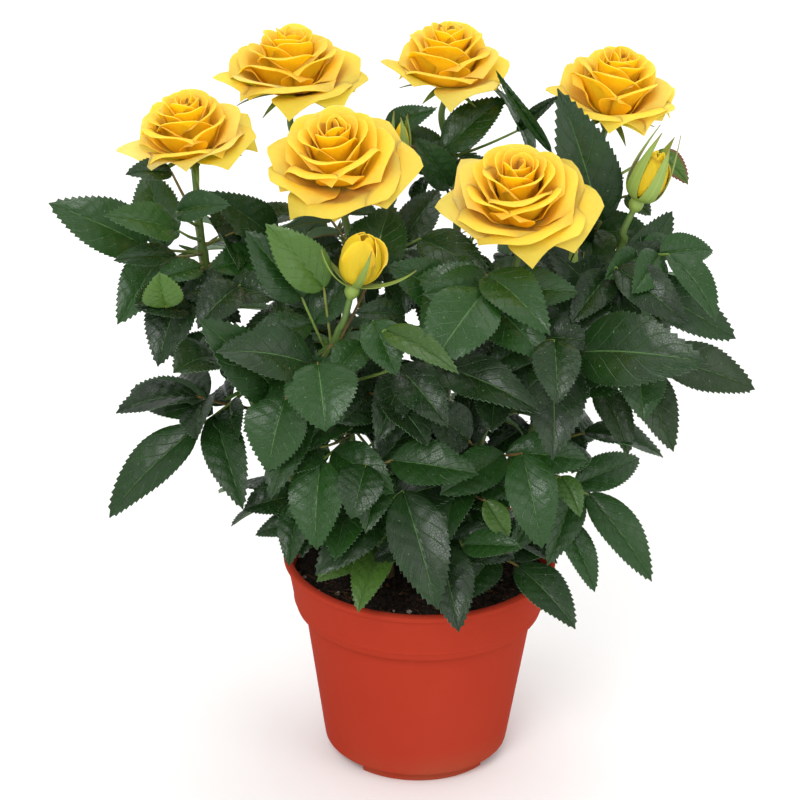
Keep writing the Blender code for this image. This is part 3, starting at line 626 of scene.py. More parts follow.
canes = {
    "left": [(-29, -3, 0), (-42, -6, 20), (-57, -8, 50), (-75, -8, 90), (-92, -6, 138), (-98, -2, 170)],
    "back_left": [(-10, 12, 0), (-20, 22, 55), (-36, 36, 115), (-51, 46, 168)],
    "centre": [(-13, -5, 0), (-18, -4, 50), (-24, -8, 110), (-31, -15, 160)],
    "back": [(4, 12, 0), (9, 23, 60), (13, 37, 120), (12, 47, 172)],
    "front": [(8, -9, 0), (19, -16, 50), (30, -24, 100), (36, -30, 150)],
    "back_right": [(18, 10, 0), (34, 17, 55), (54, 21, 110), (71, 21, 165)],
    "right": [(20, -5, 0), (33, -10, 48), (55, -11, 92), (69, -9, 138), (83, -16, 168)],
    "low": [(-22, -15, 0), (-29, -25, 42), (-31, -36, 84), (-38, -50, 130), (-37, -58, 145)],
}

shoots = {
    "right": {"from": "right", "height": 96, "row": [(61, -17, 132)]},
    "centre": {"from": "centre", "height": 140, "row": [(-20, 2, 168)]},
}

blooms = {
    "left": {"cane": "left", "middle": (-102, 0, 213), "radius": 29, "height": 27, "heading": 200, "tilt": 6,
             "outer": (192, 262, 350, 140, 40, 310, 92)},
    "top_left": {"cane": "back_left", "middle": (-60, 50, 222), "radius": 33, "height": 28, "heading": 100,
                 "tilt": 4, "outer": (188, 265, 352, 225, 310, 18, 100, 145)},
    "centre_left": {"cane": "centre", "middle": (-39, -25, 214), "radius": 33, "height": 31, "heading": 250,
                    "tilt": 16, "outer": (268, 205, 352, 165, 310, 45, 105)},
    "top": {"cane": "back", "middle": (8, 50, 226), "radius": 28, "height": 27, "heading": 40, "tilt": 6,
            "outer": (190, 250, 310, 12, 70, 130)},
    "centre_right": {"cane": "front", "middle": (38, -40, 205), "radius": 34, "height": 32, "heading": 265,
                     "tilt": 15, "outer": (185, 278, 355, 235, 135, 42, 318, 90)},
    "top_right": {"cane": "back_right", "middle": (80, 20, 228), "radius": 29, "height": 30, "heading": 0,
                  "tilt": 12, "outer": (195, 305, 255, 338, 130, 15, 70)},
}

buds = {
    "front": {"cane": "low", "foot": (-32, -61, 163), "radius": 8.8, "height": 22.5, "heading": 20,
              "tilt": 14, "opening": 0.42, "shade": 0.6, "clasped": False},
    "right": {"cane": "right", "foot": (87, -18, 186), "radius": 7.6, "height": 22, "heading": 10,
              "tilt": 22, "opening": 0.15, "shade": 0.45, "clasped": True},
}

closedBuds = {
    "small": {"shoot": "right", "foot": (60, -21, 160), "radius": 4.4, "height": 15, "heading": 300,
              "tilt": 30},
    "centre": {"shoot": "centre", "foot": (-12, 10, 192), "radius": 4.6, "height": 22, "heading": 90,
               "tilt": 6},
}


def leaning(heading, tilt):
    # the way a flower's axis points: straight up, tilted towards a heading
    heading, tilt = math.radians(heading), math.radians(tilt)
    return np.array((math.sin(tilt) * math.cos(heading), math.sin(tilt) * math.sin(heading), math.cos(tilt)))


def flowerFeet():
    feet = {}
    for plan in blooms.values():
        axis = leaning(plan["heading"], plan["tilt"])
        foot = grown(plan["middle"]) - axis * (canePlan["hipHeight"] + 0.5 * plan["height"] * mm)
        feet[plan["cane"]] = foot, axis
        plan["foot"], plan["axis"] = foot, axis
    for plan in (*buds.values(), *closedBuds.values()):
        foot, axis = grown(plan["foot"]), leaning(plan["heading"], plan["tilt"])
        feet[plan.get("cane", "shoot " + plan.get("shoot", ""))] = foot, axis
        plan["foot"], plan["axis"] = foot, axis
    return feet


def atHeight(stem, height):
    # the point on a stem's axis, and its radius, at a height in millimetres over the soil
    level = soilTop + height * mm
    path = stem["path"]
    above = int(np.argmax(path[:, 2] >= level))
    share = (level - path[above - 1, 2]) / (path[above, 2] - path[above - 1, 2])
    centre = path[above - 1] * (1 - share) + path[above] * share
    return centre, stem["radii"][above - 1] * (1 - share) + stem["radii"][above] * share


def layStems():
    plan = canePlan
    feet = flowerFeet()
    stems = {}
    for name, row in canes.items():
        row = [grown(spot) for spot in row]
        foot, axis = feet[name]
        under = row[0] + unit(row[0] - row[1]) * plan["buried"]
        path = smoothPath([under, *row, foot - 10 * mm * axis, foot + 0.5 * mm * axis], plan["steps"])
        stems[name] = {"path": path, "radii": np.linspace(plan["footRadius"], plan["topRadius"], len(path))}
    for name, shoot in shoots.items():
        foot, axis = feet["shoot " + name]
        centre, radius = atHeight(stems[shoot["from"]], shoot["height"])
        row = [grown(spot) for spot in shoot["row"]]
        out = (row[0] - centre) * (1, 1, 0)
        start = centre + unit(out) * 0.6 * radius
        path = smoothPath([start, *row, foot - 6 * mm * axis, foot + 0.5 * mm * axis], plan["steps"])
        stems["shoot " + name] = {"path": path, "radii": np.full(len(path), plan["shootRadius"])}
    return stems


stems = layStems()


# Leaves: a stalk, pairs of leaflets along it and one at its end. Each row: the cane, the height of its
# joint, the end of its stalk, the tip of its end leaflet, that leaflet's width, pairs, and the heading it
# faces. The first rows stand for the model's own leaves, and the extra ones fill the plant out

modelLeaves = {
    "left_high": ("left", 156, (-120, -9, 160), (-160, -12, 182), 24, 1, 255),
    "left_low": ("left", 92, (-98, -22, 80), (-135, -36, 43), 22, 1, 245),
    "left_inner": ("left", 108, (-88, -44, 126), (-106, -68, 132), 21, 1, 250),
    "centre_left": ("low", 138, (-58, -77, 124), (-66, -92, 97), 27, 1, 250),
    "front_left": ("low", 86, (-43, -72, 92), (-46, -94, 61), 23, 1, 260),
    "front_rim": ("low", 40, (-8, -68, 76), (8, -98, 36), 25, 1, 270),
    "front_pair": ("low", 66, (-16, -72, 92), (20, -84, 90), 21, 1, 280),
    "rim_left": ("low", 22, (-16, -46, 36), (-27, -76, 24), 16, 1, 255),
    "rim_right": ("front", 30, (42, -44, 28), (67, -66, 10), 20, 1, 300),
    "right_front": ("front", 70, (42, -62, 92), (51, -86, 60), 22, 1, 285),
    "right_low": ("right", 64, (72, -22, 52), (101, -38, 18), 19, 2, 300),
    "right_high": ("right", 142, (86, -26, 162), (134, -32, 146), 20, 1, 290),
    "right_big": ("front", 126, (66, -50, 143), (119, -64, 163), 32, 1, 285),
    "right_far": ("right", 92, (100, -4, 110), (144, -2, 94), 22, 2, 285),
    "centre_right": ("centre", 112, (4, -70, 138), (48, -92, 128), 21, 1, 280),
    "centre_big": ("front", 138, (24, -70, 172), (4, -100, 152), 29, 1, 265),
    "top_right": ("back_right", 128, (61, -3, 156), (56, -6, 200), 24, 0, 265),
    "top": ("back", 136, (44, 34, 186), (26, 58, 212), 18, 1, 10),
    "top_back": ("back_left", 140, (-24, 56, 168), (2, 80, 190), 24, 1, 80),
    "back_left": ("back_left", 104, (-72, 66, 122), (-112, 84, 112), 26, 2, 130),
    "back": ("back", 96, (4, 84, 112), (-8, 124, 98), 26, 2, 90),
    "back_right": ("back_right", 96, (86, 62, 116), (112, 92, 100), 26, 2, 60),
    "back_low_left": ("back_left", 44, (-44, 62, 58), (-62, 96, 32), 24, 2, 120),
    "back_low_right": ("back_right", 46, (46, 62, 56), (60, 98, 30), 24, 2, 70),
}

# degrees that the model swings a leaf round its joint, and lifts it, to clear its neighbours
leafTurns = {"front_pair": (4, 0), "right_high": (0, -12), "right_big": (-8.5, -8.5)}

extraLeaves = {
    "left_mid": ("left", 152, (-104, -25, 143), (-122, -45, 151), 17, 1, 250),
    "left_olive": ("left", 162, (-105, -30, 178), (-135, -48, 192), 17, 0, 250),
    "left_short": ("left", 168, (-106, -30, 187), (-84, -42, 197), 14, 0, 265),
    "left_under": ("left", 156, (-106, -30, 166), (-131, -44, 171), 11, 0, 240),
    "left_top": ("left", 172, (-109, -14, 198), (-127, -24, 202), 11, 0, 250),
    "left_round": ("left", 138, (-110, -44, 149), (-113, -46, 166), 17, 0, 255),
    "left_grey": ("left", 128, (-99, -36, 144), (-122, -46, 150), 12, 0, 240),
    "left_small": ("left", 148, (-95, -34, 163), (-115, -46, 162), 12, 0, 250),
    "left_dark": ("left", 142, (-79, -40, 158), (-97, -56, 147), 19, 1, 255),
    "inner_left": ("left", 150, (-65, 0, 161), (-92, -14, 189), 18, 1, 250),
    "inner_left_low": ("left", 144, (-70, -10, 155), (-92, -24, 158), 17, 1, 250),
    "left_broad": ("low", 106, (-61, -64, 118), (-92, -84, 161), 25, 1, 250),
    "centre_broad": ("low", 129, (-47, -72, 137), (-85, -88, 154), 24, 0, 255),
    "centre_round": ("low", 120, (-45, -78, 141), (-40, -100, 121), 30, 0, 270),
    "low_left": ("low", 86, (-43, -66, 95), (-67, -84, 93), 19, 0, 255),
    "blue_left": ("low", 127, (-52, -58, 161), (-75, -60, 192), 20, 1, 255),
    "under_bud": ("low", 122, (-22, -74, 159), (-12, -90, 143), 18, 1, 275),
    "beside_bud": ("low", 131, (-9, -60, 155), (-29, -72, 162), 12, 0, 265),
    "centre_low": ("low", 116, (-11, -72, 137), (10, -92, 120), 20, 0, 275),
    "centre_dark": ("centre", 156, (-3, -20, 172), (26, -44, 166), 19, 1, 280),
    "top_left_dark": ("back", 178, (-19, 30, 198), (1, 24, 214), 13, 0, 265),
    "top_mid_dark": ("back", 160, (10, 30, 173), (-6, 26, 197), 15, 0, 260),
    "top_long": ("back_right", 172, (53, 34, 189), (27, 40, 223), 5, 0, 255),
    "top_thin": ("back", 180, (38, 40, 196), (56, 36, 215), 6, 0, 280),
    "right_upper": ("right", 150, (80, -40, 170), (109, -60, 155), 19, 1, 285),
    "right_hang": ("front", 132, (54, -70, 150), (56, -92, 132), 20, 1, 275),
    "red_back": ("back_right", 180, (98, 24, 195), (112, 16, 184), 11, 0, 290),
    "right_tiny": ("back_right", 172, (85, 6, 182), (95, -2, 177), 10, 0, 290),
    "right_behind": ("right", 134, (76, -24, 146), (50, -30, 174), 21, 1, 270),
    "low_flat": ("front", 32, (18, -62, 47), (42, -74, 53), 13, 0, 280),
    "low_curl": ("front", 52, (27, -60, 68), (37, -66, 53), 11, 0, 285),
    "front_low": ("low", 74, (-24, -74, 91), (-30, -92, 76), 19, 0, 270),
    "front_olive": ("right", 60, (59, -50, 75), (69, -62, 63), 11, 0, 290),
    "mid_fill": ("front", 141, (11, -40, 153), (-15, -46, 173), 22, 1, 260),
    "mid_fill_low": ("front", 109, (32, -50, 121), (57, -60, 140), 21, 1, 280),
    "mid_fill_left": ("low", 96, (-31, -58, 113), (-53, -66, 137), 22, 1, 255),
    "mid_fill_deep": ("front", 72, (20, -40, 86), (-2, -50, 108), 20, 1, 265),
    "rim_far_left": ("left", 16, (-52, -40, 56), (-56, -62, 36), 14, 1, 240),
    "rim_centre": ("front", 34, (7, -62, 47), (18, -90, 21), 22, 1, 275),
    "right_drop": ("right", 57, (61, -30, 43), (77, -45, 17), 14, 1, 300),
    "right_mid": ("right", 119, (90, -40, 125), (93, -62, 110), 22, 1, 285),
    "behind_bud": ("low", 136, (-23, -36, 162), (-16, -16, 187), 26, 0, 250),
    "olive": ("low", 133, (-43, -60, 167), (-66, -60, 197), 20, 0, 255),
    "young": ("low", 128, (-17, -80, 158), (14, -106, 154), 13, 0, 280),
    "under_right": ("front", 146, (25, -60, 175), (52, -90, 166), 22, 1, 290),
    "tall_right": ("back_right", 150, (74, -10, 177), (54, -14, 237), 27, 0, 262),
    "top_dark": ("back", 160, (7, 35, 188), (32, 50, 208), 18, 1, 260),
}

# how young a leaf is, where it isn't 0: 0 is dark and glossy, 0.5 light green, 1 still bronze at its edges
leafAges = {
    "olive": 0.45, "young": 0.3, "rim_left": 0.45, "right_far": 0.12, "left_round": 0.55, "left_olive": 0.12,
    "low_curl": 0.4, "front_olive": 0.3, "red_back": 0.95, "left_high": 0.05, "right_tiny": 0.2,
}

leafletPlan = {
    "teeth": 19, "fewTeeth": 13, "fewUnder": 24 * mm, "toothDepth": 0.030, "toothForward": 0.95,
    "columns": (-1, -0.86, -0.62, -0.36, -0.12, 0, 0.12, 0.36, 0.62, 0.86, 1), "thickness": 0.35 * mm,
    "arch": 0.07, "fold": 0.22, "groove": 0.35 * mm, "puff": 1.0 * mm, "veinPairs": 7, "veinLean": 0.34,
    "stalkRadius": 0.75 * mm, "stalkTipRadius": 0.5 * mm, "pairSizes": (0.84, 0.70), "pairTurns": (68, 84),
    "pairShares": ((), (0.62,), (0.40, 0.80)), "standOff": 0.95 * mm, "sunk": 1.2 * mm, "sag": 0.02,
    "lean": 0.9, "stipuleLength": 9 * mm, "stipuleWidth": 1.7 * mm, "stipuleSpread": 1.8 * mm,
}


def leaflet(foot, along, up, length, width, rng, tone, age):
    # rows run from foot to tip and columns from edge to edge; half width is the product of a rising and a
    # falling power of the way along; the outermost columns carry forward-pointing teeth
    plan = leafletPlan
    teeth = plan["teeth"] if length > plan["fewUnder"] else plan["fewTeeth"]
    t = np.concatenate([[0, 0.02], 0.02 + 0.98 * (np.arange(2 * teeth) + 1) / (2 * teeth)])
    u, side = np.meshgrid(t, np.array(plan["columns"]), indexing="ij")
    rise, fall = rng.uniform(0.56, 0.66), rng.uniform(0.92, 1.06)
    peak = rise / (rise + fall)
    outline = u ** rise * (1 - u) ** fall / (peak ** rise * (1 - peak) ** fall)
    half = 0.5 * width * np.maximum(outline, 0.02)
    everySecond = np.arange(len(t))[:, None] % 2 == 0
    point = (np.abs(side) == 1) & everySecond & (u > 0.05) & (u < 0.95)
    y = side * half
    y = y + np.sign(side) * point * plan["toothDepth"] * width
    x = u * length + point * plan["toothForward"] * length / (2 * teeth)
    wide = np.abs(side)
    z = 4 * u * (1 - u) * plan["arch"] * length + plan["fold"] * half * wide
    z = z - plan["groove"] * np.exp(-(wide / 0.08) ** 2) * (1 - u)
    phase = (u - plan["veinLean"] * wide) * plan["veinPairs"]
    quilt = np.sin(math.pi * phase) ** 2 * 4 * wide * (1 - wide) * np.sqrt(np.maximum(outline, 0))
    z = z + plan["puff"] * quilt
    # own bends: a droop to the tip, a sideways sweep, waves along the margins and a twist along the blade
    z = z - rng.uniform(0.02, 0.12) * length * u ** 2.5
    y = y + rng.uniform(-0.05, 0.05) * length * u ** 2
    shift = rng.uniform(0, 2 * math.pi, 2)
    waves = np.sin(2 * math.pi * rng.uniform(1.2, 2.2) * u + np.where(side > 0, shift[0], shift[1]))
    z = z + rng.uniform(0.010, 0.028) * width * waves * wide ** 2 * np.sin(math.pi * u)
    twist = rng.normal(0, 0.16) * (u - 0.1)
    y, z = y * np.cos(twist) - z * np.sin(twist), y * np.sin(twist) + z * np.cos(twist)
    aside = unit(np.cross(up, along))
    over = np.cross(along, aside)
    grid = foot + x[..., None] * along + y[..., None] * aside + z[..., None] * over
    blade = thinSheet(grid, plan["thickness"], tone, age)
    rib = grid[:, len(plan["columns"]) // 2][1:-1:3] - over * 0.25 * mm
    radii = np.linspace(0.42, 0.12, len(rib)) * mm
    return [blade, tube(rib, radii, 5, tone, 0.6 * age + 0.3, 1, reference=over)]


def leafShells(row, stem, rng, age, turn=(0, 0)):
    _, height, end, tip, width, pairs, heading = row
    plan = leafletPlan
    centre, radius = atHeight(stem, height)
    end, tip = grown(end), grown(tip)
    out = unit((end - centre) * (1, 1, 0))
    joint = centre + out * (radius + plan["standOff"])
    stalk, blade = end - joint, tip - end
    heading = math.radians(heading)
    up = unit(np.array((plan["lean"] * math.cos(heading), plan["lean"] * math.sin(heading), 1)))
    if turn != (0, 0):
        stalk, blade, up = (swung(v, stalk, turn) for v in (stalk, blade, up))
    ahead, length, width = unit(stalk), float(np.linalg.norm(blade)), width * mm
    endAlong = unit(blade)
    left = unit(np.cross(up, ahead))
    tone = rng.uniform(0, 1)
    bow = np.linspace(0, 1, 7)[:, None]
    path = joint - plan["sunk"] * out + bow * (stalk + plan["sunk"] * out)
    path = path - plan["sag"] * np.linalg.norm(stalk) * np.sin(math.pi * bow) * np.array((0, 0, 1))
    path = np.vstack([path, path[-1] + 1 * mm * endAlong])
    radii = np.linspace(plan["stalkRadius"], plan["stalkTipRadius"], 8)
    radii[0] *= 1.5
    shells = [tube(path, radii, 8, rng.uniform(0.3, 1), 0.45 + 0.4 * age, 1, reference=left)]
    shells += stipules(joint, ahead, left, up, min(0.35 * np.linalg.norm(stalk), plan["stipuleLength"]), age)
    for pair, share in enumerate(plan["pairShares"][pairs]):
        rank = pairs - pair
        size = plan["pairSizes"][rank - 1]
        spread = math.radians(plan["pairTurns"][rank - 1])
        middle = unit(ahead + endAlong) if rank == 1 else ahead
        aside = unit(np.cross(up, middle))
        for side in (1, -1):
            along = middle * math.cos(spread) + aside * side * math.sin(spread)
            along = unit(along - 0.12 * up)
            foot = joint + share * stalk + side * 0.5 * mm * left
            shells += leaflet(foot, along, up, size * length * rng.uniform(0.94, 1.04), size * width, rng,
                              np.clip(tone + rng.normal(0, 0.12), 0, 1), age)
    shells += leaflet(joint + stalk, endAlong, up, length, width, rng, tone, age)
    return shells


def swung(v, stalk, turn):
    # lifts v about the level line square to the stalk, then swings it round the upright
    swing, lift = (math.radians(angle) for angle in turn)
    axis = unit(np.cross((0, 0, 1), stalk))
    v = (v * math.cos(lift) - np.cross(axis, v) * math.sin(lift)
         + axis * np.dot(axis, v) * (1 - math.cos(lift)))
    return np.array((v[0] * math.cos(swing) - v[1] * math.sin(swing),
                     v[0] * math.sin(swing) + v[1] * math.cos(swing), v[2]))


def stipules(joint, ahead, left, up, length, age):
    # two narrow wings along the foot of the stalk, each ending in a free point that turns outwards
    plan = leafletPlan
    u, across = np.meshgrid(np.linspace(0, 1, 8), np.linspace(0, 1, 3), indexing="ij")
    wings = []
    for side in (1, -1):
        width = plan["stipuleWidth"] * np.sin(math.pi * (0.12 + 0.8 * u)) ** 0.8
        out = (0.2 * mm + across * width + plan["stipuleSpread"] * u ** 3) * side
        rise = 0.5 * mm * across + 0.4 * mm * u ** 2
        grid = (joint + (u * length)[..., None] * ahead + out[..., None] * left
                + rise[..., None] * unit(up))
        if side < 0:
            grid = grid[:, ::-1]
        wings.append(thinSheet(grid, 0.25 * mm, 0.8, 0.4 + 0.4 * age))
    return wings


def fillerRow(name, height, heading, stalk, blade, width, droop, pairs):
    # a leaf worked out from its cane: its stalk climbs along a heading, and its end leaflet droops
    centre, _ = atHeight(stems[name], height)
    turn = math.radians(heading)
    out = np.array((math.cos(turn), math.sin(turn), 0))
    end = centre + out * stalk * mm + (0, 0, fillerPlan["rise"] * stalk * mm)
    low = math.radians(droop)
    tip = end + (out * math.cos(low) - np.array((0, 0, math.sin(low)))) * blade * mm
    inPlant = [((spot - (0, 0, soilTop)) / mm).tolist() for spot in (end, tip)]
    return (name, height, *inPlant, width, pairs, heading)


fillerPlan = {
    "fromHeight": 26, "toHeight": 172, "apart": 19, "stalk": (17, 27), "blade": (29, 37), "width": (17, 23),
    "droop": (-5, 45), "rise": 0.30, "turnOfCane": 50.0, "belowTop": 20, "slack": 3 * mm,
}


def fillerLeaves(rng):
    # leaves at even heights on every cane, each turned on from the last by the golden angle
    plan = fillerPlan
    rows = {}
    low, high = (np.array(corner) for corner in cadBox)
    for number, name in enumerate(canes):
        heading = plan["turnOfCane"] * number
        top = min(plan["toHeight"], (stems[name]["path"][-1, 2] - soilTop) / mm - plan["belowTop"])
        for count, height in enumerate(np.arange(plan["fromHeight"] + 3 * (number % 4), top, plan["apart"])):
            heading += goldenTurn
            row = fillerRow(name, height, heading, rng.uniform(*plan["stalk"]), rng.uniform(*plan["blade"]),
                            rng.uniform(*plan["width"]), rng.uniform(*plan["droop"]), 1 + (count % 2))
            tip = grown(row[3])
            if np.all(tip > low + plan["slack"]) and np.all(tip < high - plan["slack"]):
                rows[f"filler_{name}_{count}"] = row
    return rows


def makeLeaves():
    rng = np.random.default_rng(seeds["leaves"])
    for name, row in modelLeaves.items():
        shells = leafShells(row, stems[row[0]], rng, leafAges.get(name, 0.0), leafTurns.get(name, (0, 0)))
        addPiece(f"{name}_leaf", shells, [leafBlade, roseStem], [f"leaf_{name}"])
    for name, row in extraLeaves.items():
        addPiece(f"{name}_leaf", leafShells(row, stems[row[0]], rng, leafAges.get(name, 0.0)),
                 [leafBlade, roseStem])
    for name, row in fillerLeaves(rng).items():
        addPiece(f"{name}_leaf", leafShells(row, stems[row[0]], rng, 0.0), [leafBlade, roseStem])


def makeStems():
    plan = canePlan
    rng = np.random.default_rng(seeds["stems"])
    joints = {}
    for row in (*modelLeaves.values(), *extraLeaves.values()):
        joints.setdefault(row[0], []).append(row[1])
    for name, stem in stems.items():
        path = stem["path"]
        over = (path[:, 2] - soilTop) / mm
        radii = stem["radii"].copy()
        for joint in joints.get(name, []):
            radii += plan["nodeSwell"] * np.exp(-((over - joint) * mm / plan["nodeLength"]) ** 2)
        shoot = name.startswith("shoot")
        shells = [tube(path, radii, plan["sides"], rng.uniform(0.2, 0.6), 0.7 if shoot else 0.0)]
        if not shoot:
            stop = over.max() - plan["thornsStop"]
            for height in np.arange(plan["thornsFrom"], stop, plan["thornsApart"]):
                shells.append(thorn(stem, height + rng.uniform(-5, 5), rng.uniform(0, 2 * math.pi)))
        node = name.replace("shoot ", "shoot_") if shoot else "cane_" + name
        addPiece(f"{node}_stem", shells, [roseStem], [node])


def thorn(stem, height, angle):
    # a cone that curves down from the cane's skin to a sharp point
    plan = canePlan
    centre, radius = atHeight(stem, height)
    out = np.array((math.cos(angle), math.sin(angle), 0))
    t = np.linspace(0, 1, 6)[:, None]
    path = centre + out * (0.7 * radius + plan["thornLength"] * t)
    path[:, 2] -= plan["thornDrop"] * t[:, 0] ** 2
    radii = plan["thornRadius"] * (1 - t[:, 0]) ** 1.4 + 0.04 * mm
    return tube(path, radii, 7, 0.95, 0.1, reference=(0, 0, 1))


# Blooms: about thirty petals each, from the rolled heart to the wide outer whorl

petalPlan = {
    "rows": 17, "columns": 15, "thickness": 0.36 * mm, "heartCount": 15, "middleCount": 8, "claw": 0.30,
    "heartShares": (0.0, 0.46), "middleShares": (0.54, 0.74), "outerShares": (0.98, 0.88), "turnSpread": 16,
    # a petal's form from the heart outwards, at these stops. A centre line has four (out, up) points, and
    # all lengths are shares of the bloom's radius or height
    "stops": (0.0, 0.3, 0.6, 0.8, 1.0),
    "lines": (((0.02, 0.0), (0.13, 0.30), (0.12, 0.80), (0.05, 0.99)),
              ((0.04, 0.0), (0.26, 0.18), (0.22, 0.76), (0.30, 0.97)),
              ((0.05, 0.0), (0.40, 0.08), (0.38, 0.64), (0.57, 0.82)),
              ((0.05, 0.0), (0.46, 0.02), (0.56, 0.44), (0.80, 0.62)),
              ((0.06, 0.0), (0.46, -0.02), (0.78, 0.26), (1.08, 0.34))),
    "halfWidths": (0.24, 0.42, 0.58, 0.68, 0.70),
    "wraps": (0.12, 0.25, 0.46, 0.72, 1.10),
    "rolls": (0.0, 0.06, 0.20, 0.36, 0.46),
    "rimRolls": (0.01, 0.06, 0.10, 0.11, 0.08),
    "points": (2.2, 2.0, 1.6, 1.4, 1.25),
    "falls": (0.25, 0.30, 0.38, 0.42, 0.46),
}


def around(frameOf, turn, out, across, up):
    # carries a petal's or sepal's own (out, across, up) to its place about the flower's axis
    foot, e1, e2, axis = frameOf
    turn = math.radians(turn)
    outward = e1 * math.cos(turn) + e2 * math.sin(turn)
    beside = -e1 * math.sin(turn) + e2 * math.cos(turn)
    return foot + out[..., None] * outward + across[..., None] * beside + up[..., None] * axis


def petal(frameOf, turn, line, half, wrap, roll, rimRoll, skew, point, fall, rng, out, tone):
    # rows climb the centre line and columns spread about it. Width grows from a narrow claw; the sides
    # bend in by an arc of radius wrap, the far corners roll back, and the rim falls away from the middle
    # by a power
    plan = petalPlan
    t = 1 - (1 - np.linspace(0, 1, plan["rows"])) ** 1.35
    s = np.sin(np.linspace(-0.5, 0.5, plan["columns"]) * math.pi)
    u, side = np.meshgrid(t, s, indexing="ij")
    wide = np.abs(side)
    rim = 1 - fall * wide ** point - 0.02 * np.sin(5 * side + 6 * tone)
    reach = np.clip(u * rim, 0, 1.1)
    stations = np.linspace(0, 1.1, 60)
    spots = bezier(line, stations)
    slope = np.gradient(spots, axis=0)
    radial, rise, slopeOut, slopeUp = (np.interp(reach, stations, values) for values in (*spots.T, *slope.T))
    size = np.hypot(slopeOut, slopeUp)
    inOut, inUp = -slopeUp / size, slopeOut / size       # towards the side of the petal that faces the heart
    width = half * (plan["claw"] + (1 - plan["claw"]) * np.sin(0.5 * math.pi * np.clip(u / 0.72, 0, 1)))
    width = width * (1 - 0.10 * u ** 3)
    bend = side * width / wrap
    across = wrap * np.sin(bend)
    lift = wrap * (1 - np.cos(bend))
    lift = lift - roll * np.clip(wide - 0.30, 0, 1) ** 2 * u ** 1.5
    lift = lift - rimRoll * (np.clip(u - 0.68, 0, 1) / 0.32) ** 2
    wave = rng.uniform(0.2, 0.8) * mm * np.sin(3.2 * side + rng.uniform(0, 6))
    lift = lift + skew * side * u + wave * u ** 3
    radial = radial + lift * inOut
    rise = rise + lift * inUp
    return thinSheet(around(frameOf, turn, radial, across, rise)[:, ::-1], plan["thickness"], tone, out)


def axesAt(foot, axis):
    e1 = unit(np.array((1.0, 0, 0)) - axis[0] * axis)
    return foot, e1, np.cross(axis, e1), axis


def petalAt(share, frameOf, turn, radius, height, rng):
    # a bloom's petal, its form read between the stops from the heart (share 0) to the outer whorl (share 1)
    plan = petalPlan
    stops = plan["stops"]
    lines = np.array(plan["lines"])
    line = np.array([[np.interp(share, stops, lines[:, k, axis]) for axis in (0, 1)] for k in range(4)])
    line = line * (radius * rng.uniform(0.92, 1.03), height * rng.uniform(0.93, 1.03))
    keys = ("halfWidths", "wraps", "rolls", "rimRolls", "points", "falls")
    half, wrap, roll, rimRoll, point, fall = (np.interp(share, stops, plan[key]) for key in keys)
    return petal(frameOf, turn, line, half * radius * rng.uniform(0.90, 1.10), wrap * radius,
                 roll * radius * rng.uniform(0.6, 1.4), rimRoll * radius * rng.uniform(0.5, 1.5),
                 0.07 * radius * (0.3 + share), point, fall, rng, share, rng.uniform())


def makeBlooms():
    plan = petalPlan
    for number, (name, bloom) in enumerate(blooms.items()):
        rng = np.random.default_rng(seeds["blooms"] + number)
        radius, height = bloom["radius"] * mm, bloom["height"] * mm
        base = bloom["foot"] + bloom["axis"] * (canePlan["hipHeight"] + 1.0 * mm)
        frameOf = axesAt(base, bloom["axis"])
        shares = np.concatenate([np.linspace(*plan["heartShares"], plan["heartCount"]),
                                 np.linspace(*plan["middleShares"], plan["middleCount"])])
        heart, outer = [], []
        for count, share in enumerate(shares):
            turn = count * goldenTurn + rng.uniform(-plan["turnSpread"], plan["turnSpread"])
            heart.append(petalAt(share, frameOf, turn, radius, height, rng))
        for count, heading in enumerate(bloom["outer"]):
            outer.append(petalAt(plan["outerShares"][count % 2], frameOf, heading, radius, height, rng))
        addPiece(f"{name}_heart_petals", heart, [rosePetal], [f"inner_petals_{name}"])
        addPiece(f"{name}_outer_petals", outer, [rosePetal], [f"outer_petals_{name}"])
        calyx = [hip(bloom, 0.0)]
        hipTop = canePlan["hipHeight"]
        for count in range(5):
            line = ((2.4 * mm, hipTop), (0.25 * radius, hipTop + 0.5 * mm), (0.5 * radius, hipTop - 1 * mm),
                    (0.72 * radius, hipTop - rng.uniform(2, 6) * mm))
            calyx.append(sepal(bloom, 72 * count + 31 * number, line, 2.4 * mm, 0.0, rng))
        addPiece(f"{name}_calyx", calyx, [roseSepal], [f"calyx_{name}"])


def hip(flower, age):
    plan = canePlan
    r, h = plan["hipRadius"], plan["hipHeight"]
    profile = rounded([(0.2 * mm, 0, 0), (0.42 * r, 0, 0.3 * mm), (0.62 * r, 0.12 * h, 0.4 * mm),
                       (1.0 * r, 0.42 * h, 1.4 * mm), (0.86 * r, 0.84 * h, 1.0 * mm), (0.98 * r, h, 0.5 * mm),
                       (0.2 * mm, h + 1.4 * mm, 0)], 5)
    return turned(profile, 20, flower["foot"], flower["axis"], 0.4, age)


def sepal(flower, turn, line, half, age, rng):
    # a lance: half width is a rising power of the way along times a falling one. Its middle follows the
    # line, and its sides bend in round the flower by an arc as wide as the flower there
    u, side = np.meshgrid(np.linspace(0, 1, 19), np.linspace(-1, 1, 7), indexing="ij")
    spots = bezier(line, np.linspace(0, 1, 19))
    radial, rise = spots[:, 0][:, None] * np.ones_like(u), spots[:, 1][:, None] * np.ones_like(u)
    width = half * np.maximum((u + 0.10) ** 0.35 * (1 - u) ** 0.95 * 1.5, 0.04)
    wrap = np.maximum(radial, 1.6 * mm)
    bend = side * width / wrap
    across = wrap * np.sin(bend) + rng.uniform(-0.10, 0.10) * line[3][1] * u ** 2
    radial = radial - wrap * (1 - np.cos(bend))
    turn = turn + rng.uniform(-10, 10)
    grid = around(axesAt(flower["foot"], flower["axis"]), turn, radial, across, rise)
    return thinSheet(grid[:, ::-1], 0.35 * mm, rng.uniform(), age)


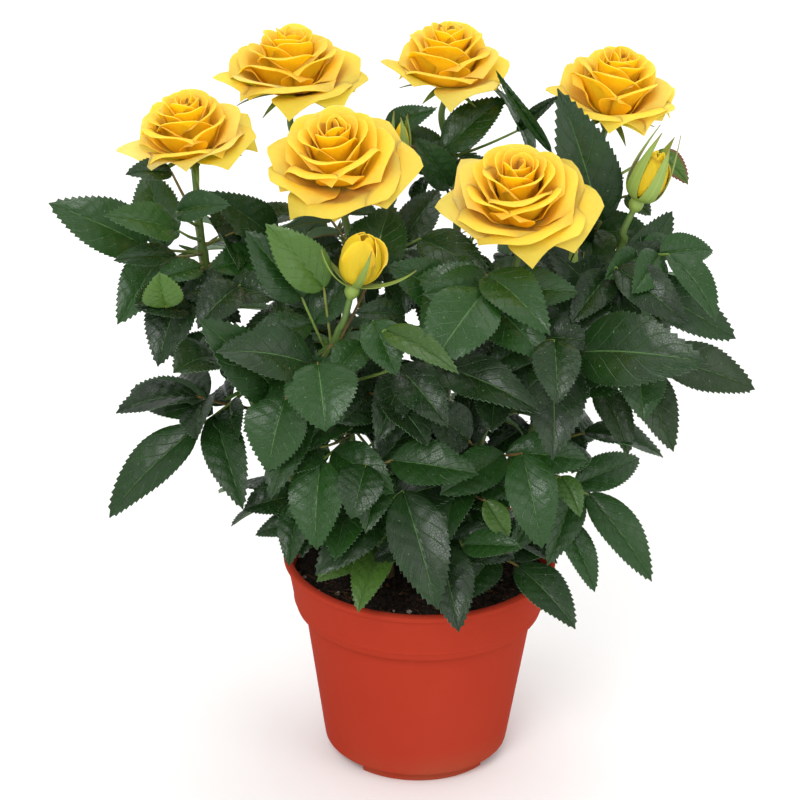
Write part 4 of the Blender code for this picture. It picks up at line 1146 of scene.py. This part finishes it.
# half-open bud: its sepals spread, each to its own (out, up) point in millimetres; tight bud: they clasp it
spreadSepals = ((24, 12), (13, 20), (17, 4), (20, 15), (16, 22))
budPetals = 9


def makeBuds():
    hipTop = canePlan["hipHeight"]
    for number, (name, bud) in enumerate(buds.items()):
        rng = np.random.default_rng(seeds["buds"] + number)
        radius, height = bud["radius"] * mm, bud["height"] * mm
        frameOf = axesAt(bud["foot"] + bud["axis"] * (hipTop + 0.6 * mm), bud["axis"])
        opening = bud["opening"]
        petals = []
        for count in range(budPetals):
            share = count / (budPetals - 1)
            line = np.array(((0.12, 0), (1.15 + 0.35 * share, 0.04), (0.90 + 0.45 * share, 0.78),
                             (0.10 + opening * share, 1.0 - 0.10 * share))) * (radius, height)
            petals.append(petal(frameOf, goldenTurn * count + 20, line, radius * (0.70 + 0.55 * share),
                                radius * (0.50 + 0.42 * share), radius * 0.4 * opening * share,
                                radius * 0.3 * opening * share, 0.12 * radius, 1.7, 0.4, rng,
                                bud["shade"] + 0.3 * share, rng.uniform()))
        addPiece(f"{name}_bud_petals", petals, [rosePetal], [f"petals_{name}_bud"])
        calyx = [hip(bud, 0.5)]
        for count in range(5):
            if bud["clasped"]:
                tip = (rng.uniform(0.1, 0.8) * radius, hipTop + rng.uniform(1.15, 1.5) * height)
                line = ((2.4 * mm, hipTop - 0.6 * mm), (1.62 * radius, hipTop + 0.03 * height),
                        (1.12 * radius, hipTop + 0.80 * height), tip)
                half = 4.4 * mm
            else:
                out, up = spreadSepals[count]
                line = ((2.4 * mm, hipTop - 0.6 * mm), (0.45 * out * mm, hipTop + 0.3 * mm),
                        (0.80 * out * mm, hipTop + 0.45 * up * mm), (out * mm, hipTop + up * mm))
                half = 2.5 * mm
            calyx.append(sepal(bud, 72 * count, line, half, 0.55, rng))
        addPiece(f"{name}_bud_calyx", calyx, [roseSepal], [f"calyx_{name}_bud"])
    for number, (name, bud) in enumerate(closedBuds.items()):
        rng = np.random.default_rng(seeds["closedBuds"] + number)
        r, h = bud["radius"] * mm, bud["height"] * mm
        profile = rounded([(0.2 * mm, 0, 0), (0.9 * mm, 0, 0.2 * mm), (0.72 * r, 0.14 * h, 0.8 * mm),
                           (0.62 * r, 0.26 * h, 0.6 * mm), (0.86 * r, 0.46 * h, 2 * mm),
                           (0.60 * r, 0.70 * h, 2 * mm), (0.10 * r, 0.9 * h, 0)], 5)
        shells = [turned(profile, 24, bud["foot"], bud["axis"], 0.5, 0.35, 1)]
        for count in range(5):
            line = ((0.66 * r, 0.24 * h), (1.15 * r, 0.36 * h), (0.95 * r, 0.74 * h),
                    (rng.uniform(0.1, 0.9) * r, rng.uniform(0.95, 1.15) * h))
            shells.append(sepal(bud, 72 * count, line, 0.62 * r, 0.4, rng))
        addPiece(f"{name}_closed_bud", shells, [roseSepal, rosePetal], [f"closed_bud_{name}"])


makePot()
print("pot turned")
makeSoil()
print("soil filled in")
makeStems()
print("canes up")
makeLeaves()
print("leaves on")
makeBlooms()
makeBuds()
print("flowers out")


# Stage: a pale floor, a white sky and soft lamps

stagePlan = {"floorSize": 8.0, "floorColour": srgb(244, 244, 243), "sky": 0.90, "lampsFace": (0, 0, 0.17)}

lamps = {
    "key": {"at": (-0.9, -2.9, 2.6), "size": 1.9, "power": 74.0},
    "fill": {"at": (2.4, -2.0, 1.5), "size": 2.2, "power": 22.0},
    "top": {"at": (0.2, 0.9, 3.2), "size": 2.4, "power": 30.0},
}


def makeStage():
    floorMesh = bpy.data.meshes.new("floor")
    half = 0.5 * stagePlan["floorSize"]
    corners = [(-half, -half, 0), (half, -half, 0), (half, half, 0), (-half, half, 0)]
    floorMesh.from_pydata(corners, [], [(0, 1, 2, 3)])
    paleFloor, _, _ = newMaterial("pale_floor", Base_Color=stagePlan["floorColour"], Roughness=0.8)
    floorMesh.materials.append(paleFloor)
    floor = bpy.data.objects.new("floor", floorMesh)
    bpy.context.collection.objects.link(floor)
    world = bpy.data.worlds.new("white_sky")
    world.use_nodes = True
    sky = world.node_tree.nodes["Background"]
    sky.inputs["Color"].default_value = (1, 1, 1, 1)
    sky.inputs["Strength"].default_value = stagePlan["sky"]
    bpy.context.scene.world = world
    for name, lamp in lamps.items():
        light = bpy.data.lights.new(name, "AREA")
        light.shape = "DISK"
        light.size = lamp["size"]
        light.energy = lamp["power"]
        holder = bpy.data.objects.new(name, light)
        holder.location = lamp["at"]
        ahead = Vector(stagePlan["lampsFace"]) - Vector(lamp["at"])
        holder.rotation_euler = ahead.to_track_quat("-Z", "Y").to_euler()
        bpy.context.collection.objects.link(holder)
    bpy.context.scene.view_settings.view_transform = "Standard"


cameraPlan = {"elevation": 27.0, "roll": 1.2, "distance": 2.6, "lens": 269.1, "aside": -10.1 * mm,
              "height": 170.7 * mm}


def makeCamera():
    plan = cameraPlan
    high, roll = math.radians(plan["elevation"]), math.radians(plan["roll"])
    back = Vector((0, -math.cos(high), math.sin(high)))
    right = Vector((1, 0, 0))
    up = back.cross(right)
    camera = bpy.data.objects.new("camera", bpy.data.cameras.new("camera"))
    camera.data.lens = plan["lens"]
    camera.data.sensor_width = 36
    camera.data.clip_start, camera.data.clip_end = 0.1, 100
    rolledRight = right * math.cos(roll) + up * math.sin(roll)
    rolledUp = up * math.cos(roll) - right * math.sin(roll)
    turn = camera.matrix_world.to_3x3()
    for column, axis in enumerate((rolledRight, rolledUp, back)):
        turn.col[column] = axis
    camera.rotation_euler = turn.to_euler()
    camera.location = Vector((plan["aside"], 0, plan["height"])) + plan["distance"] * back
    bpy.context.collection.objects.link(camera)
    bpy.context.scene.camera = camera


makeStage()
makeCamera()
print("stage set")
